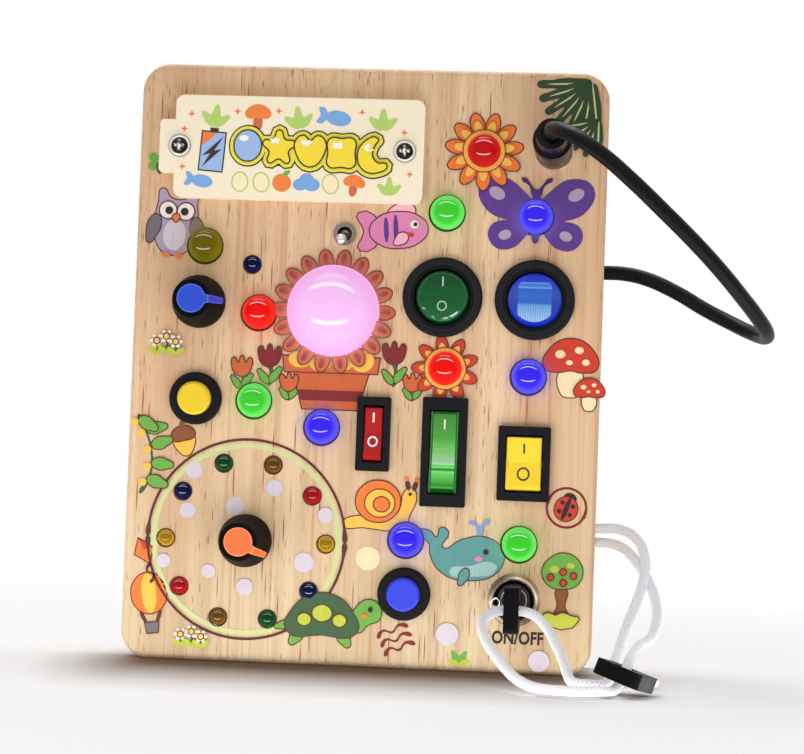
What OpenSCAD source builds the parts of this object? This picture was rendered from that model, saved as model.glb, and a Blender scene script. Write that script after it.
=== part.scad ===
// Wooden busy board: a milled pine box with switches, lamps, knobs, a key lock and a battery bay.
// It stands on its lower edge. X runs to the right, Z up, and the front face looks along -Y.
// The origin is the middle of the lower edge's flat face.
// Most pieces are drawn in the face frame (face up, Z = height above the back), then stood up.

/* [Case] */
// Width of the board
board_w = 136; // [134:1:200]
// Height of the board as it stands
board_h = 173; // [171:1:240]
// Thickness of the milled box, without its back
case_d = 32; // [30:0.5:60]
// Thickness of the back plate
back_t = 3; // [2.5:0.5:6]
// Radius of the four upright corners
corner_r = 8; // [4:0.5:14]
// Radius of the round-over along the front edge
edge_r = 2; // [1:0.25:3]
// Thickness of the side walls
wall = 9; // [6:0.5:9.5]
// Thickness of the wood behind the face
front_t = 7; // [4.5:0.5:8]
// Radius in the corners of the milled hollow
cavity_r = 4; // [1:0.5:8]
// Radial clearance between a hole in the wood and what sits in it
hole_gap = 0.1; // [0.05:0.05:0.3]

/* [Back screws] */
// Diameter of a back screw's shank
screw_d = 3; // [2:0.5:4]
// Diameter of a back screw's head
screw_head_d = 6; // [5:0.5:8]
// Length of a back screw
screw_l = 14; // [10:1:22]
// Distance of the screws from the board's edge
screw_inset = 4.5; // [4:0.25:5]

/* [Battery bay] */
// Width of the battery cover
cover_w = 72.5; // [66:0.5:74]
// Height of the battery cover
cover_h = 30; // [28.5:0.5:32]
// Thickness of the battery cover
cover_t = 3; // [1.5:0.5:4]
// Corner radius of the battery cover
cover_r = 2.5; // [1:0.5:5]
// Place of the battery cover on the face
cover_at = [-21, 62]; // [-80:0.5:80]
// Width of the ear at the cover's left side
ear_w = 4.5; // [4:0.5:5]
// Height of the ear
ear_h = 15.5; // [10:0.5:20]
// Distance of the left cover screw inside the cover's left side
ear_screw_in = 1.5; // [1:0.5:3]
// Distance of the right cover screw inside the cover's right side
far_screw_in = 5.5; // [4:0.5:8]
// Diameter of a cover screw's shank
cover_screw_d = 2.5; // [2:0.25:3]
// Diameter of a cover screw's head
cover_screw_head_d = 5.2; // [4.5:0.1:6]
// Diameter of the washer under a cover screw's head
washer_d = 6.4; // [6:0.1:8]
// Thickness of the battery holder's walls
holder_t = 1.3; // [1:0.1:1.6]
// Diameter of a cell
cell_d = 10.4; // [9.5:0.1:10.5]
// Length of a cell
cell_l = 43.5; // [42:0.5:44]
// Gap between the two cells
cell_gap = 0.6; // [0.4:0.1:2]
// Gap around the cells in the holder, towards the cover too
cell_room = 0.8; // [0.5:0.1:1.2]
// Room for a contact at each end of a cell
contact_room = 2.95; // [2.5:0.05:4]

/* [Lamps] */
// Diameter of a large lamp's lens
lamp_d = 10; // [8:0.5:10.5]
// Height of a large lamp above its collar
lamp_h = 12; // [9:0.5:15]
// Width of the collar around a large lamp's foot
lamp_collar = 0.6; // [0.3:0.1:1]
// Diameter of a small lamp's lens
small_lamp_d = 5; // [3:0.5:6]
// Height of a small lamp above its collar
small_lamp_h = 8.6; // [8.2:0.2:11]
// Radius of the ring of small lamps
ring_r = 23.3; // [20:0.1:24]
// Diameter of the dome lamp's lens
dome_d = 26.8; // [24:0.2:28]
// Height of the dome above the face
dome_h = 11; // [8:0.5:13]
// Thickness of the dome's shell
dome_t = 1.6; // [1.2:0.2:2.2]
// Diameter of the dome's neck in the wood
dome_neck_d = 21; // [19:0.5:22]
// Place of the dome on the face
dome_at = [-9.5, 15.5]; // [-60:0.5:60]

/* [Rocker switches] */
// Height of a switch's frame above the face
frame_t = 2; // [1.2:0.1:3]
// Full swing of a rocker in degrees
rocker_swing = 16; // [10:1:18]
// Gap between a rocker and its window
rocker_gap = 0.3; // [0.2:0.05:0.4]
// Diameter of a rocker's pivot pins
pin_d = 2; // [1.5:0.1:2.2]
// Length of a pivot pin beyond the rocker's side
pin_l = 1; // [0.8:0.1:1.1]
// Radial clearance of a pin, shaft or sliding fit
run_gap = 0.05; // [0.02:0.01:0.09]
// Diameter of a round switch's frame
round_frame_d = 23; // [22:0.5:26]
// Diameter of a round switch's body
round_body_d = 20.2; // [20:0.1:21]
// Depth of a round switch's body behind the face
round_depth = 17; // [14:0.5:20]
// Diameter of a round rocker
round_rocker_d = 15.8; // [15:0.2:17]
// Place of the green round switch on the face
round_green_at = [22, 20.5]; // [-60:0.5:60]
// Place of the blue round switch on the face
round_blue_at = [48.5, 20.5]; // [-60:0.5:60]
// Width and height of the red switch's frame
red_frame = [9.7, 21.4]; // [8:0.1:24]
// Width and length of the red rocker
red_rocker_size = [5.1, 15.8]; // [4:0.1:18]
// Place of the red switch on the face
red_at = [3.5, -19.5]; // [-60:0.5:60]
// Width and height of the long green switch's frame
green_frame = [13, 31.4]; // [12:0.1:33]
// Width and length of the long green rocker
green_rocker_size = [8, 23.6]; // [7:0.1:25]
// Place of the long green switch on the face
green_at = [24, -24]; // [-60:0.5:60]
// Width and height of the yellow switch's frame
yellow_frame = [15, 21.4]; // [14:0.1:24]
// Width and length of the yellow rocker
yellow_rocker_size = [10, 15.8]; // [9:0.1:17]
// Place of the yellow switch on the face
yellow_at = [47, -26.5]; // [-60:0.5:60]
// Depth of a small rocker switch's body behind the face
rocker_depth = 16; // [14:0.5:18]
// Depth of the long rocker switch's body behind the face
long_depth = 20; // [17:0.5:21]
// Thickness of a rectangular switch's body around its window
body_rim = 1.5; // [1.5:0.1:1.7]
// Length of a terminal blade
terminal_l = 7; // [5:0.5:8]
// Width of a terminal blade
terminal_w = 4.8; // [3:0.1:6.3]
// Distance between the terminals of a rocker switch
terminal_pitch = 6; // [5:0.5:7]
// Distance between the terminals of the long rocker switch
long_pitch = 9; // [7:0.5:10]

/* [Toggle switch] */
// Place of the toggle switch on the face
toggle_at = [-7, 38]; // [-60:0.5:60]
// Diameter of the toggle's threaded bushing
toggle_d = 6; // [5.6:0.1:7]
// Length of the lever above its pivot
lever_l = 13; // [9:0.5:16]
// Diameter of the lever's tip
lever_d = 3.2; // [2.6:0.1:4]
// Full swing of the lever in degrees
lever_swing = 24; // [16:1:24]

/* [Push buttons] */
// Place of the yellow button on the face
yellow_button_at = [-48.5, -11]; // [-60:0.5:60]
// Place of the blue button on the face
blue_button_at = [14, -65]; // [-70:0.5:70]
// Diameter of a button's rim
rim_d = 15.2; // [14:0.1:16]
// Height of a button's rim above the face
rim_h = 2.4; // [1.5:0.1:4]
// Diameter of the threaded barrel of buttons and lock
barrel_d = 11.8; // [11.4:0.1:12]
// Diameter of a button's cap
cap_d = 9.6; // [8.5:0.1:9.8]
// Height of a button's cap above its rim
cap_up = 2.6; // [2.2:0.1:4]
// Travel of a button
button_travel = 2; // [1:0.1:2.2]
// Depth of a button behind the face
button_depth = 22; // [20:0.5:24]

/* [Knobs] */
// Place of the blue knob on the face
blue_knob_at = [-48.5, 17]; // [-60:0.5:60]
// Place of the orange knob and its ring of lamps on the face
orange_knob_at = [-32.3, -51.5]; // [-60:0.1:60]
// Diameter of a knob at its foot
knob_d = 15.2; // [14.6:0.2:16]
// Diameter of a knob at its top
knob_top_d = 10.8; // [10:0.2:12]
// Height of a knob
knob_h = 15.5; // [12:0.5:18]
// Reach of the pointer's tip from the knob's axis
pointer_r = 8; // [7.4:0.1:8.4]
// Height of the pointer's tip below the top of its cap
pointer_fall = 7; // [5:0.5:8]
// Diameter of the shaft in a knob
shaft_d = 6; // [5:0.1:6.2]
// Diameter of the threaded sleeve around the shaft
sleeve_d = 7.6; // [7.4:0.1:8]
// Diameter of the potentiometer's body
pot_d = 16; // [14:0.5:17]
// Depth of the potentiometer's body
pot_h = 9; // [7:0.5:11]

/* [Lock and keys] */
// Place of the lock on the face
lock_at = [45.5, -65.5]; // [-70:0.5:70]
// Height of the lock's rim above the face
lock_rim_h = 3; // [2:0.25:4]
// Diameter of the lock's turning core
core_d = 9.5; // [8:0.1:9.8]
// Depth of the lock behind the face
lock_depth = 20; // [16:0.5:24]
// Width of a key's head
head_w = 13; // [11:0.5:15]
// Thickness of a key's head
head_t = 4.2; // [3:0.1:5]
// Height of a key's head
head_h = 17; // [14:0.5:20]
// Width of a key's blade
blade_w = 6.2; // [5:0.1:7]
// Thickness of a key's blade
blade_t = 2; // [1.2:0.1:2.4]
// Length of a key's blade
key_l = 20; // [16:0.5:22]
// Distance of a head's middle below its blade's middle
head_drop = 2; // [0:0.25:3]
// Width of the cord slot in a key's head
key_slot_w = 5; // [4.4:0.1:5.4]
// Length of the cord slot in a key's head
key_slot_l = 9.5; // [6:0.5:10]

/* [Jack, cable and cord] */
// Place of the jack on the face
jack_at = [52.5, 63.5]; // [-70:0.5:70]
// Diameter of the jack's ring nut
jack_ring_d = 11.2; // [10:0.1:13]
// Diameter of the plug's contact pin
contact_d = 3.5; // [2.5:0.1:3.5]
// Length of the plug's contact pin
contact_l = 14; // [10:0.5:16]
// Diameter of the plug's grip
plug_d = 10.9; // [9:0.1:12]
// Length of the plug's grip
plug_grip_l = 22; // [16:0.5:26]
// Diameter of the plug's tail
plug_tail_d = 8.5; // [6:0.1:9]
// Length of the plug's tail
plug_tail_l = 12; // [8:0.5:14]
// Diameter of the black cable
cable_d = 4.2; // [3:0.1:4.4]
// Diameter of the white braided cord
cord_d = 3.1; // [2.5:0.1:3.6]

/* [Driver board] */
// Width of the circuit board
pcb_w = 30; // [26:1:32]
// Height of the circuit board
pcb_h = 48; // [44:1:50]
// Thickness of the circuit board
pcb_t = 1.6; // [1:0.2:2]
// Height of the stand-offs under the circuit board
standoff_h = 3; // [2:0.5:4]
// Place of the circuit board behind the face
pcb_at = [-20, -2]; // [-60:0.5:60]

/* [Hidden] */
$fn = 64;
eps = 0.01;
snug = 0.02;            // gap between pieces that are pushed or glued together
face_z = back_t + case_d;
inner_z = face_z - front_t;
pivot_z = face_z - 1;   // height of the rockers' pivots
side_x = board_w / 2;

// The places on the face belong to a board of this size, and spread with it
layout = [136, 173];
function on_face(place) = [place.x * board_w / layout.x, place.y * board_h / layout.y];
cover_spot = on_face(cover_at);
dome_spot = on_face(dome_at);
round_green_spot = on_face(round_green_at);
round_blue_spot = on_face(round_blue_at);
red_spot = on_face(red_at);
green_spot = on_face(green_at);
yellow_spot = on_face(yellow_at);
toggle_spot = on_face(toggle_at);
yellow_button_spot = on_face(yellow_button_at);
blue_button_spot = on_face(blue_button_at);
blue_knob_spot = on_face(blue_knob_at);
orange_knob_spot = on_face(orange_knob_at);
lock_spot = on_face(lock_at);
jack_spot = on_face(jack_at);
pcb_spot = on_face(pcb_at);

// Places of the large lamps on the face, by colour
red_lamps_at = [[32.5, 63], [-31, 14.5], [23.5, 0]];
red_spots = [for (p = red_lamps_at) on_face(p)];
green_lamps_at = [[22.5, 45], [-31.5, -11], [46.5, -49.5]];
green_spots = [for (p = green_lamps_at) on_face(p)];
blue_lamps_at = [[48, 44.5], [-11.5, -18], [47.5, -1.5], [14, -49.5]];
blue_spots = [for (p = blue_lamps_at) on_face(p)];
yellow_lamp_at = [-47.5, 33.5];
yellow_spots = [on_face(yellow_lamp_at)];

// Small lamps sit on a ring around the orange knob, one every 36 degrees
function ring_spot(k) = orange_knob_spot + ring_r * [cos(36 * k), sin(36 * k)];
small_red_spots = [ring_spot(1), ring_spot(6)];
small_yellow_spots = [ring_spot(0), ring_spot(5)];
lone_lamp_at = [-33.5, 28.5];
small_blue_spots = [ring_spot(4), ring_spot(9), on_face(lone_lamp_at)];
small_green_spots = [ring_spot(3), ring_spot(8)];
small_orange_spots = [ring_spot(2), ring_spot(7)];

// Where the cable and the cord enter the right-hand side, in the face frame
cable_hole_y = 30.5;
cord_hole_y = -46.5;
side_hole_z = face_z / 2;
cord_pitch = 4;         // distance between the cord's two strands in their slot

// Route of the black cable, from the plug's tail to inside the case
cable_route = [
  [52.5, -53.8, 150], [53.5, -63, 150], [58.5, -70, 147.5], [66, -73, 142.5],
  [74.5, -73, 135.5], [83, -70.5, 128], [91.5, -66, 120.5], [99, -60, 113.5],
  [105.5, -52.5, 107], [110.5, -44, 102], [113.5, -35, 98.8], [113.5, -26, 98],
  [110.5, -18, 99.5], [105, -12, 102.5], [97.5, -8, 106.5], [89, -5, 111.5],
  [80, -2, 115.5], [74, -0.5, 116.8], [68, 0, 117], [58, 0, 117]
];

// Route of the white cord: out of the case, through the lock's key, along the
// ground through the spare key, and back into the case
cord_route = [
  [58, 0, 42], [68, 0, 42], [75, -1, 42], [80, -6, 39.5], [82.5, -13, 34],
  [82, -21, 28], [80, -29, 22], [77.5, -37, 16], [75.5, -45, 10], [73.5, -53, 5],
  [70.5, -60, 2.5], [66, -63.5, 2], [61.5, -60, 3.2], [59.5, -52.5, 7],
  [57.5, -46, 11.5], [55, -40, 15.5], [51.5, -36.2, 18.2], [47.8, -35, 19],
  [43.2, -35, 19], [39.5, -36.5, 18], [37, -42, 15.6], [37.8, -49.5, 12.5],
  [40.5, -57.5, 9], [44, -66, 6], [48, -74.5, 3.5], [54, -82.5, 2],
  [62, -87, 2], [69.5, -84, 2], [74.2, -78.4, 2], [76.6, -74, 5.6], [78.6, -69.6, 10.2],
  [80.5, -64, 12.6], [82.6, -56, 13.2], [85.2, -40, 15.8],
  [85.8, -27.5, 21], [84, -17.5, 27], [79.8, -9, 33.5],
  [74.5, -2.5, 37.4], [68, 0, 38], [58, 0, 38]
];

// ---------- frames and shared shapes ----------

// Stands up what is drawn in the face frame
module stood() {
  translate([0, face_z / 2, board_h / 2]) rotate([90, 0, 0]) children();
}

module at(spot, z = 0) {
  translate([spot.x, spot.y, z]) children();
}

module rounded(w, h, r) {
  square([w - 2 * r, h], center = true);
  square([w, h - 2 * r], center = true);
  for (sx = [-1, 1], sy = [-1, 1])
    translate([sx * (w / 2 - r), sy * (h / 2 - r)]) circle(r);
}

module plate(w, h, r, t) {
  linear_extrude(t) rounded(w, h, r);
}

// A block centred in X and Y that grows up from its floor
module block(w, h, t) {
  translate([-w / 2, -h / 2, 0]) cube([w, h, t]);
}

// A cylinder along X, centred
module crosswise(d, l) {
  rotate([0, 90, 0]) cylinder(d = d, h = l, center = true);
}

// A cross recess for a screwdriver, cut down from z = 0
module cross_recess(d, deep) {
  for (turn = [0, 90])
    rotate(turn) translate([0, 0, -deep]) block(d, d / 4, deep + eps);
}

// A round-ended coil of wire from z = 0 up to h
module coil(d, wire, h, turns) {
  sides = 6;
  steps = 8;
  rings = turns * steps;
  rise = h - wire;
  r = d / 2 - wire / 2;
  points = [for (i = [0:rings], j = [0:sides - 1])
    let (a = 360 * i / steps, b = 360 * j / sides)
      [(r + wire / 2 * cos(b)) * cos(a), (r + wire / 2 * cos(b)) * sin(a),
       wire / 2 + rise * i / rings - wire / 2 * sin(b)]];
  polyhedron(points, tube_faces(rings + 1, sides));
}

// Triangles of a closed tube of rings, in order of travel
function tube_faces(rings, sides) = concat(
  [[for (j = [0:sides - 1]) j]],
  [for (i = [0:rings - 2], j = [0:sides - 1], half = [0, 1])
    let (a = i * sides + j, b = i * sides + (j + 1) % sides)
      half == 0 ? [a, a + sides, b] : [b, a + sides, b + sides]],
  [[for (j = [sides - 1:-1:0]) (rings - 1) * sides + j]]);

function unit(v) = v / norm(v);

// Direction of travel at each point of a route
function heading(route, i) = unit(
  route[min(i + 1, len(route) - 1)] - route[max(i - 1, 0)]);

// A side direction carried along the route without twisting
function sideways(route, i, start) = i == 0
  ? unit(start - heading(route, 0) * (start * heading(route, 0)))
  : let (last = sideways(route, i - 1, start), t = heading(route, i))
      unit(last - t * (last * t));

// A tube of round section along a route
module tube_along(route, d, sides, start = [0, 0, 1]) {
  points = [for (i = [0:len(route) - 1])
    let (t = heading(route, i), u = sideways(route, i, start), v = cross(t, u))
      for (j = [0:sides - 1])
        route[i] + d / 2 * (cos(360 * j / sides) * u + sin(360 * j / sides) * v)];
  polyhedron(points, tube_faces(len(route), sides));
}

// ---------- case ----------

// Section of a wall whose outer top edge is rounded; x runs outwards
module rim_section(w, h, r) {
  square([w - r, h]);
  square([w, h - r]);
  translate([w - r, h - r]) circle(r);
}

// The solid block of the case, with its front edge rounded over
module case_block() {
  straight_x = board_w - 2 * corner_r;
  straight_y = board_h - 2 * corner_r;
  translate([0, 0, back_t]) {
    block(straight_x, straight_y, case_d);
    for (half = [0, 180])
      rotate(half) {
        translate([straight_x / 2, straight_y / 2, 0]) rotate([90, 0, 0])
          linear_extrude(straight_y) rim_section(corner_r, case_d, edge_r);
        translate([-straight_x / 2, straight_y / 2, 0]) rotate([90, 0, 90])
          linear_extrude(straight_x) rim_section(corner_r, case_d, edge_r);
        translate([straight_x / 2, straight_y / 2, 0])
          rotate_extrude(angle = 90) rim_section(corner_r, case_d, edge_r);
        translate([-straight_x / 2, straight_y / 2, 0])
          rotate(90) rotate_extrude(angle = 90) rim_section(corner_r, case_d, edge_r);
      }
  }
}

// A round hole through the wood behind the face
module face_hole(spot, d) {
  at(spot, inner_z - eps) cylinder(d = d + 2 * hole_gap, h = front_t + 2 * eps);
}

// A square hole through the wood behind the face
module face_window(spot, size) {
  at(spot, inner_z - eps)
    block(size.x + 2 * hole_gap, size.y + 2 * hole_gap, front_t + 2 * eps);
}

// Room in the hollow for what reaches behind the face, where a wall stands close to it
module pocket(spot, size) {
  at(spot, back_t) block(size.x + 2 * pocket_gap, size.y + 2 * pocket_gap, inner_z - back_t);
}

module round_pocket(spot, d) {
  at(spot, back_t) cylinder(d = d + 2 * pocket_gap, h = inner_z - back_t);
}

pocket_gap = 0.3;

module pockets() {
  for (s = concat(red_spots, green_spots, blue_spots, yellow_spots))
    round_pocket(s, lamp_d + 2 * lamp_collar);
  for (s = concat(small_red_spots, small_yellow_spots, small_blue_spots,
                  small_green_spots, small_orange_spots))
    round_pocket(s, small_lamp_d + 2 * small_collar);
  for (s = [round_green_spot, round_blue_spot]) round_pocket(s, round_body_d);
  for (s = [yellow_button_spot, blue_button_spot, lock_spot]) round_pocket(s, nut_af / cos(30));
  for (s = [blue_knob_spot, orange_knob_spot]) round_pocket(s, pot_d);
  round_pocket(jack_spot, jack_ring_d);
  pocket(red_spot, body_size(red_rocker_size));
  pocket(green_spot, body_size(green_rocker_size));
  pocket(yellow_spot, body_size(yellow_rocker_size));
  pocket(holder_at, [holder_l, holder_w]);
}

back_screw_spots = [for (sx = [-1, 1], y = [-1, 0, 1])
  [sx * (side_x - screw_inset), y * (board_h / 2 - 2 * corner_r)]];

module side_holes() {
  translate([side_x - wall - eps, 0, side_hole_z]) {
    translate([0, cable_hole_y, 0]) rotate([0, 90, 0])
      cylinder(d = cable_d + 0.6, h = wall + 1);
    for (dy = [-cord_pitch / 2, cord_pitch / 2])
      translate([0, cord_hole_y + dy, 0]) rotate([0, 90, 0])
        cylinder(d = cord_d + 0.8, h = wall + 1);
  }
}

module wooden_case() {
  stood() color("burlywood")
    difference() {
      case_block();
      translate([0, 0, back_t - eps])
        plate(board_w - 2 * wall, board_h - 2 * wall, cavity_r, case_d - front_t + eps);
      pockets();
      for (s = concat(red_spots, green_spots, blue_spots, yellow_spots)) face_hole(s, lamp_d);
      for (s = concat(small_red_spots, small_yellow_spots, small_blue_spots,
                      small_green_spots, small_orange_spots))
        face_hole(s, small_lamp_d);
      face_hole(dome_spot, dome_neck_d);
      face_hole(toggle_spot, toggle_d);
      for (s = [round_green_spot, round_blue_spot]) face_hole(s, round_body_d);
      face_window(red_spot, body_size(red_rocker_size));
      face_window(green_spot, body_size(green_rocker_size));
      face_window(yellow_spot, body_size(yellow_rocker_size));
      for (s = [yellow_button_spot, blue_button_spot, lock_spot]) face_hole(s, barrel_d);
      for (s = [blue_knob_spot, orange_knob_spot]) face_hole(s, sleeve_d);
      face_hole(jack_spot, jack_body_d);
      face_window(holder_at, [holder_l, holder_w]);
      at(holder_at, face_z - lip_t)
        block(holder_l + 2 * (lip_w + lip_gap), holder_w + 2 * (lip_w + lip_gap), lip_t + eps);
      for (s = cover_screw_spots)
        at(s, face_z - cover_screw_l) cylinder(d = cover_screw_d + 0.1, h = cover_screw_l + eps);
      for (s = back_screw_spots)
        at(s, back_t - eps) cylinder(d = screw_d + 0.1, h = screw_l - back_t + 0.5);
      side_holes();
    }
}

module back_plate() {
  stood() color("tan")
    difference() {
      plate(board_w, board_h, corner_r, back_t);
      for (s = back_screw_spots)
        at(s) {
          translate([0, 0, -eps]) cylinder(d = screw_d + 0.3, h = back_t + 1);
          translate([0, 0, -eps]) cylinder(d1 = screw_head_d + 0.3, d2 = screw_d + 0.3,
                                           h = screw_sink + eps);
        }
    }
}

screw_sink = (screw_head_d - screw_d) / 2;

module back_screws() {
  stood() color("silver")
    for (s = back_screw_spots)
      at(s) difference() {
        union() {
          cylinder(d1 = screw_head_d, d2 = screw_d, h = screw_sink);
          translate([0, 0, screw_sink - eps]) cylinder(d = screw_d, h = screw_l - screw_sink);
        }
        rotate([180, 0, 0]) cross_recess(screw_head_d * 0.55, screw_sink * 0.8);
      }
}

// ---------- battery bay ----------
lip_t = 1.2;            // the holder's rim lies in a step of this depth
lip_w = 1.3;
lip_gap = 0.2;
cover_screw_l = 5;
holder_at = cover_spot + [-0.5, 0];
holder_l = cell_l + 2 * (contact_room + holder_t);
holder_w = 2 * (cell_d + cell_room / 2 + holder_t) + cell_gap + 0.2;
holder_d = cell_d + 2 * cell_room + holder_t + 0.2;
cover_left = cover_spot.x - cover_w / 2;
cover_screw_spots = [
  [cover_left + ear_screw_in, cover_spot.y],
  [cover_left + cover_w - far_screw_in, cover_spot.y]
];

module battery_cover() {
  stood() color("khaki")
    difference() {
      at(cover_spot, face_z) {
        plate(cover_w, cover_h, cover_r, cover_t);
        translate([-cover_w / 2 - ear_w / 2 + cover_r / 2, 0, 0])
          plate(ear_w + cover_r, ear_h, cover_r / 2, cover_t);
      }
      for (s = cover_screw_spots)
        at(s, face_z - eps) cylinder(d = cover_screw_d + 0.3, h = cover_t + 1);
    }
}

module cover_screws() {
  stood() color("silver")
    for (s = cover_screw_spots)
      at(s, face_z + cover_t) difference() {
        union() {
          cylinder(d = washer_d, h = 0.5);
          translate([0, 0, 0.5]) cylinder(d1 = cover_screw_head_d, d2 = cover_screw_head_d * 0.7,
                                          h = 1.2);
          translate([0, 0, -cover_t - cover_screw_l + 0.2])
            cylinder(d = cover_screw_d, h = cover_t + cover_screw_l);
        }
        translate([0, 0, 1.7]) cross_recess(cover_screw_head_d * 0.55, 0.9);
      }
}

cell_z = face_z - cell_room - cell_d / 2;
cell_dy = (cell_d + cell_gap) / 2;

module battery_holder() {
  stood() color("dimgray")
    difference() {
      at(holder_at) {
        translate([0, 0, face_z - holder_d]) block(holder_l, holder_w, holder_d);
        translate([0, 0, face_z - lip_t])
          block(holder_l + 2 * lip_w, holder_w + 2 * lip_w, lip_t - snug);
      }
      at(holder_at, face_z - holder_d + holder_t)
        block(holder_l - 2 * holder_t, holder_w - 2 * holder_t, holder_d);
    }
}

module batteries() {
  stood() color("steelblue")
    at(holder_at, cell_z)
      for (side = [-1, 1])
        translate([0, side * cell_dy, 0]) {
          crosswise(cell_d, cell_l);
          translate([side * (cell_l / 2 + cell_tip / 2), 0, 0]) crosswise(cell_d * 0.4, cell_tip);
        }
}

contact_t = 0.4;
contact_wire = 0.6;
cell_tip = 1.2;         // height of a cell's raised end

module battery_contacts() {
  stood() color("silver")
    at(holder_at, cell_z) {
      inside = holder_l / 2 - holder_t;
      for (end = [-1, 1], side = [-1, 1])
        translate([end * (inside - contact_t / 2), side * cell_dy, 0])
          cube([contact_t, cell_d * 0.8, cell_d * 0.8], center = true);
      for (side = [-1, 1])
        translate([-side * (cell_l / 2 + 0.1), side * cell_dy, 0])
          rotate([0, -side * 90, 0])
            coil(cell_d * 0.6, contact_wire, inside - contact_t - cell_l / 2 - 0.15, 2);
    }
}

// ---------- lamps ----------

// Half of a lamp's outline: lens with a domed end on a collar
module lamp_outline(d, h, collar) {
  square([d / 2, h - d / 2]);
  translate([0, h - d / 2]) intersection() {
    circle(d / 2);
    square(d / 2);
  }
  translate([0, -collar_t]) square([d / 2 + collar, collar_t]);
}

collar_t = 1.4;
lead_l = 9;

module lamps(spots, d, h, collar) {
  for (s = spots)
    at(s, inner_z) {
      rotate_extrude() lamp_outline(d, h, collar);
      for (side = [-1, 1])
        translate([side * 1.27, 0, -collar_t - lead_l]) block(0.5, 0.5, lead_l + eps);
    }
}

module red_lamps() {
  stood() color("red") lamps(red_spots, lamp_d, lamp_h, lamp_collar);
}

module green_lamps() {
  stood() color("limegreen") lamps(green_spots, lamp_d, lamp_h, lamp_collar);
}

module blue_lamps() {
  stood() color("mediumblue") lamps(blue_spots, lamp_d, lamp_h, lamp_collar);
}

module yellow_lamp() {
  stood() color("olive") lamps(yellow_spots, lamp_d, lamp_h, lamp_collar);
}

module small_red_lamps() {
  stood() color("darkred") lamps(small_red_spots, small_lamp_d, small_lamp_h, small_collar);
}

module small_yellow_lamps() {
  stood() color("olive") lamps(small_yellow_spots, small_lamp_d, small_lamp_h, small_collar);
}

module small_blue_lamps() {
  stood() color("navy") lamps(small_blue_spots, small_lamp_d, small_lamp_h, small_collar);
}

module small_green_lamps() {
  stood() color("darkgreen") lamps(small_green_spots, small_lamp_d, small_lamp_h, small_collar);
}

module small_orange_lamps() {
  stood() color("sienna") lamps(small_orange_spots, small_lamp_d, small_lamp_h, small_collar);
}

small_collar = 0.45;
lip_h = 1;              // height of the dome's straight lip
dome_ball_r = (pow(dome_d / 2 - 0.3, 2) + pow(dome_h - lip_h, 2)) / (2 * (dome_h - lip_h));

// Half of the dome's section: r runs outwards, z up from the face
module dome_section() {
  difference() {
    union() {
      square([dome_d / 2, lip_h]);
      translate([0, dome_h - dome_ball_r]) intersection() {
        circle(dome_ball_r);
        translate([0, dome_ball_r - dome_h]) square([dome_d / 2, dome_h]);
      }
      translate([0, -front_t]) square([dome_neck_d / 2, front_t + lip_h]);
    }
    translate([0, dome_h - dome_ball_r]) intersection() {
      circle(dome_ball_r - dome_t);
      translate([0, dome_ball_r - dome_h + dome_t]) square([dome_d / 2 - dome_t * 1.5, dome_h]);
    }
    translate([-1, -front_t - 1]) square([dome_neck_d / 2 - dome_t + 1, front_t + 1 + 2 * dome_t]);
  }
}

module dome_lens() {
  stood() color("violet") at(dome_spot, face_z) rotate_extrude() dome_section();
}

lamp_board_t = 1.6;
lamp_stem_h = 2;
inner_lamp_h = 7;

// The lamp board behind the dome, with its own small lamp
module dome_lamp() {
  stood() color("white")
    at(dome_spot, inner_z) {
      translate([0, 0, -lamp_board_t]) cylinder(d = dome_neck_d + 3, h = lamp_board_t);
      cylinder(d = dome_neck_d - 2 * (dome_t + pocket_gap), h = lamp_stem_h);
      translate([0, 0, lamp_stem_h - eps]) rotate_extrude() lamp_outline(small_lamp_d, inner_lamp_h, 0);
    }
}

// ---------- toggle switch ----------
toggle_box = [8, 13];
toggle_box_h = 10;
toggle_rim = 0.6;       // the bushing's rim above the face
toggle_ball_d = 4;
toggle_pivot_z = face_z - 2;
lever_rest = lever_swing / 2;

module toggle_housing() {
  stood() color("dimgray")
    at(toggle_spot, inner_z - toggle_box_h) difference() {
      block(toggle_box.x, toggle_box.y, toggle_box_h);
      translate([0, 0, toggle_box_h - 4]) cylinder(d = toggle_ball_d, h = 5);
    }
}

module toggle_bushing() {
  stood() color("silver")
    at(toggle_spot, inner_z) difference() {
      union() {
        cylinder(d = toggle_d, h = front_t + toggle_rim);
        translate([0, 0, front_t + snug]) cylinder(d = toggle_d + 0.5, h = toggle_rim - snug);
      }
      translate([0, 0, -1]) cylinder(d = toggle_ball_d + 2 * run_gap, h = front_t + toggle_rim + 2);
    }
}

module toggle_lever() {
  neck_d = toggle_ball_d / 2;
  stood() color("silver")
    at(toggle_spot, toggle_pivot_z) rotate([lever_rest, 0, 0]) {
      sphere(d = toggle_ball_d);
      cylinder(d = neck_d, h = 4);
      translate([0, 0, 4 - eps])
        cylinder(d1 = neck_d, d2 = lever_d, h = lever_l - 4 - lever_d / 2);
      translate([0, 0, lever_l - lever_d / 2]) sphere(d = lever_d);
    }
}

// ---------- rocker switches ----------

// Size of a switch's window and body around a rocker
function window_size(rocker) = [rocker.x + 2 * rocker_gap, rocker.y + 2 * rocker_gap];
function body_size(rocker) = window_size(rocker) + 2 * [body_rim, body_rim];

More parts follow.
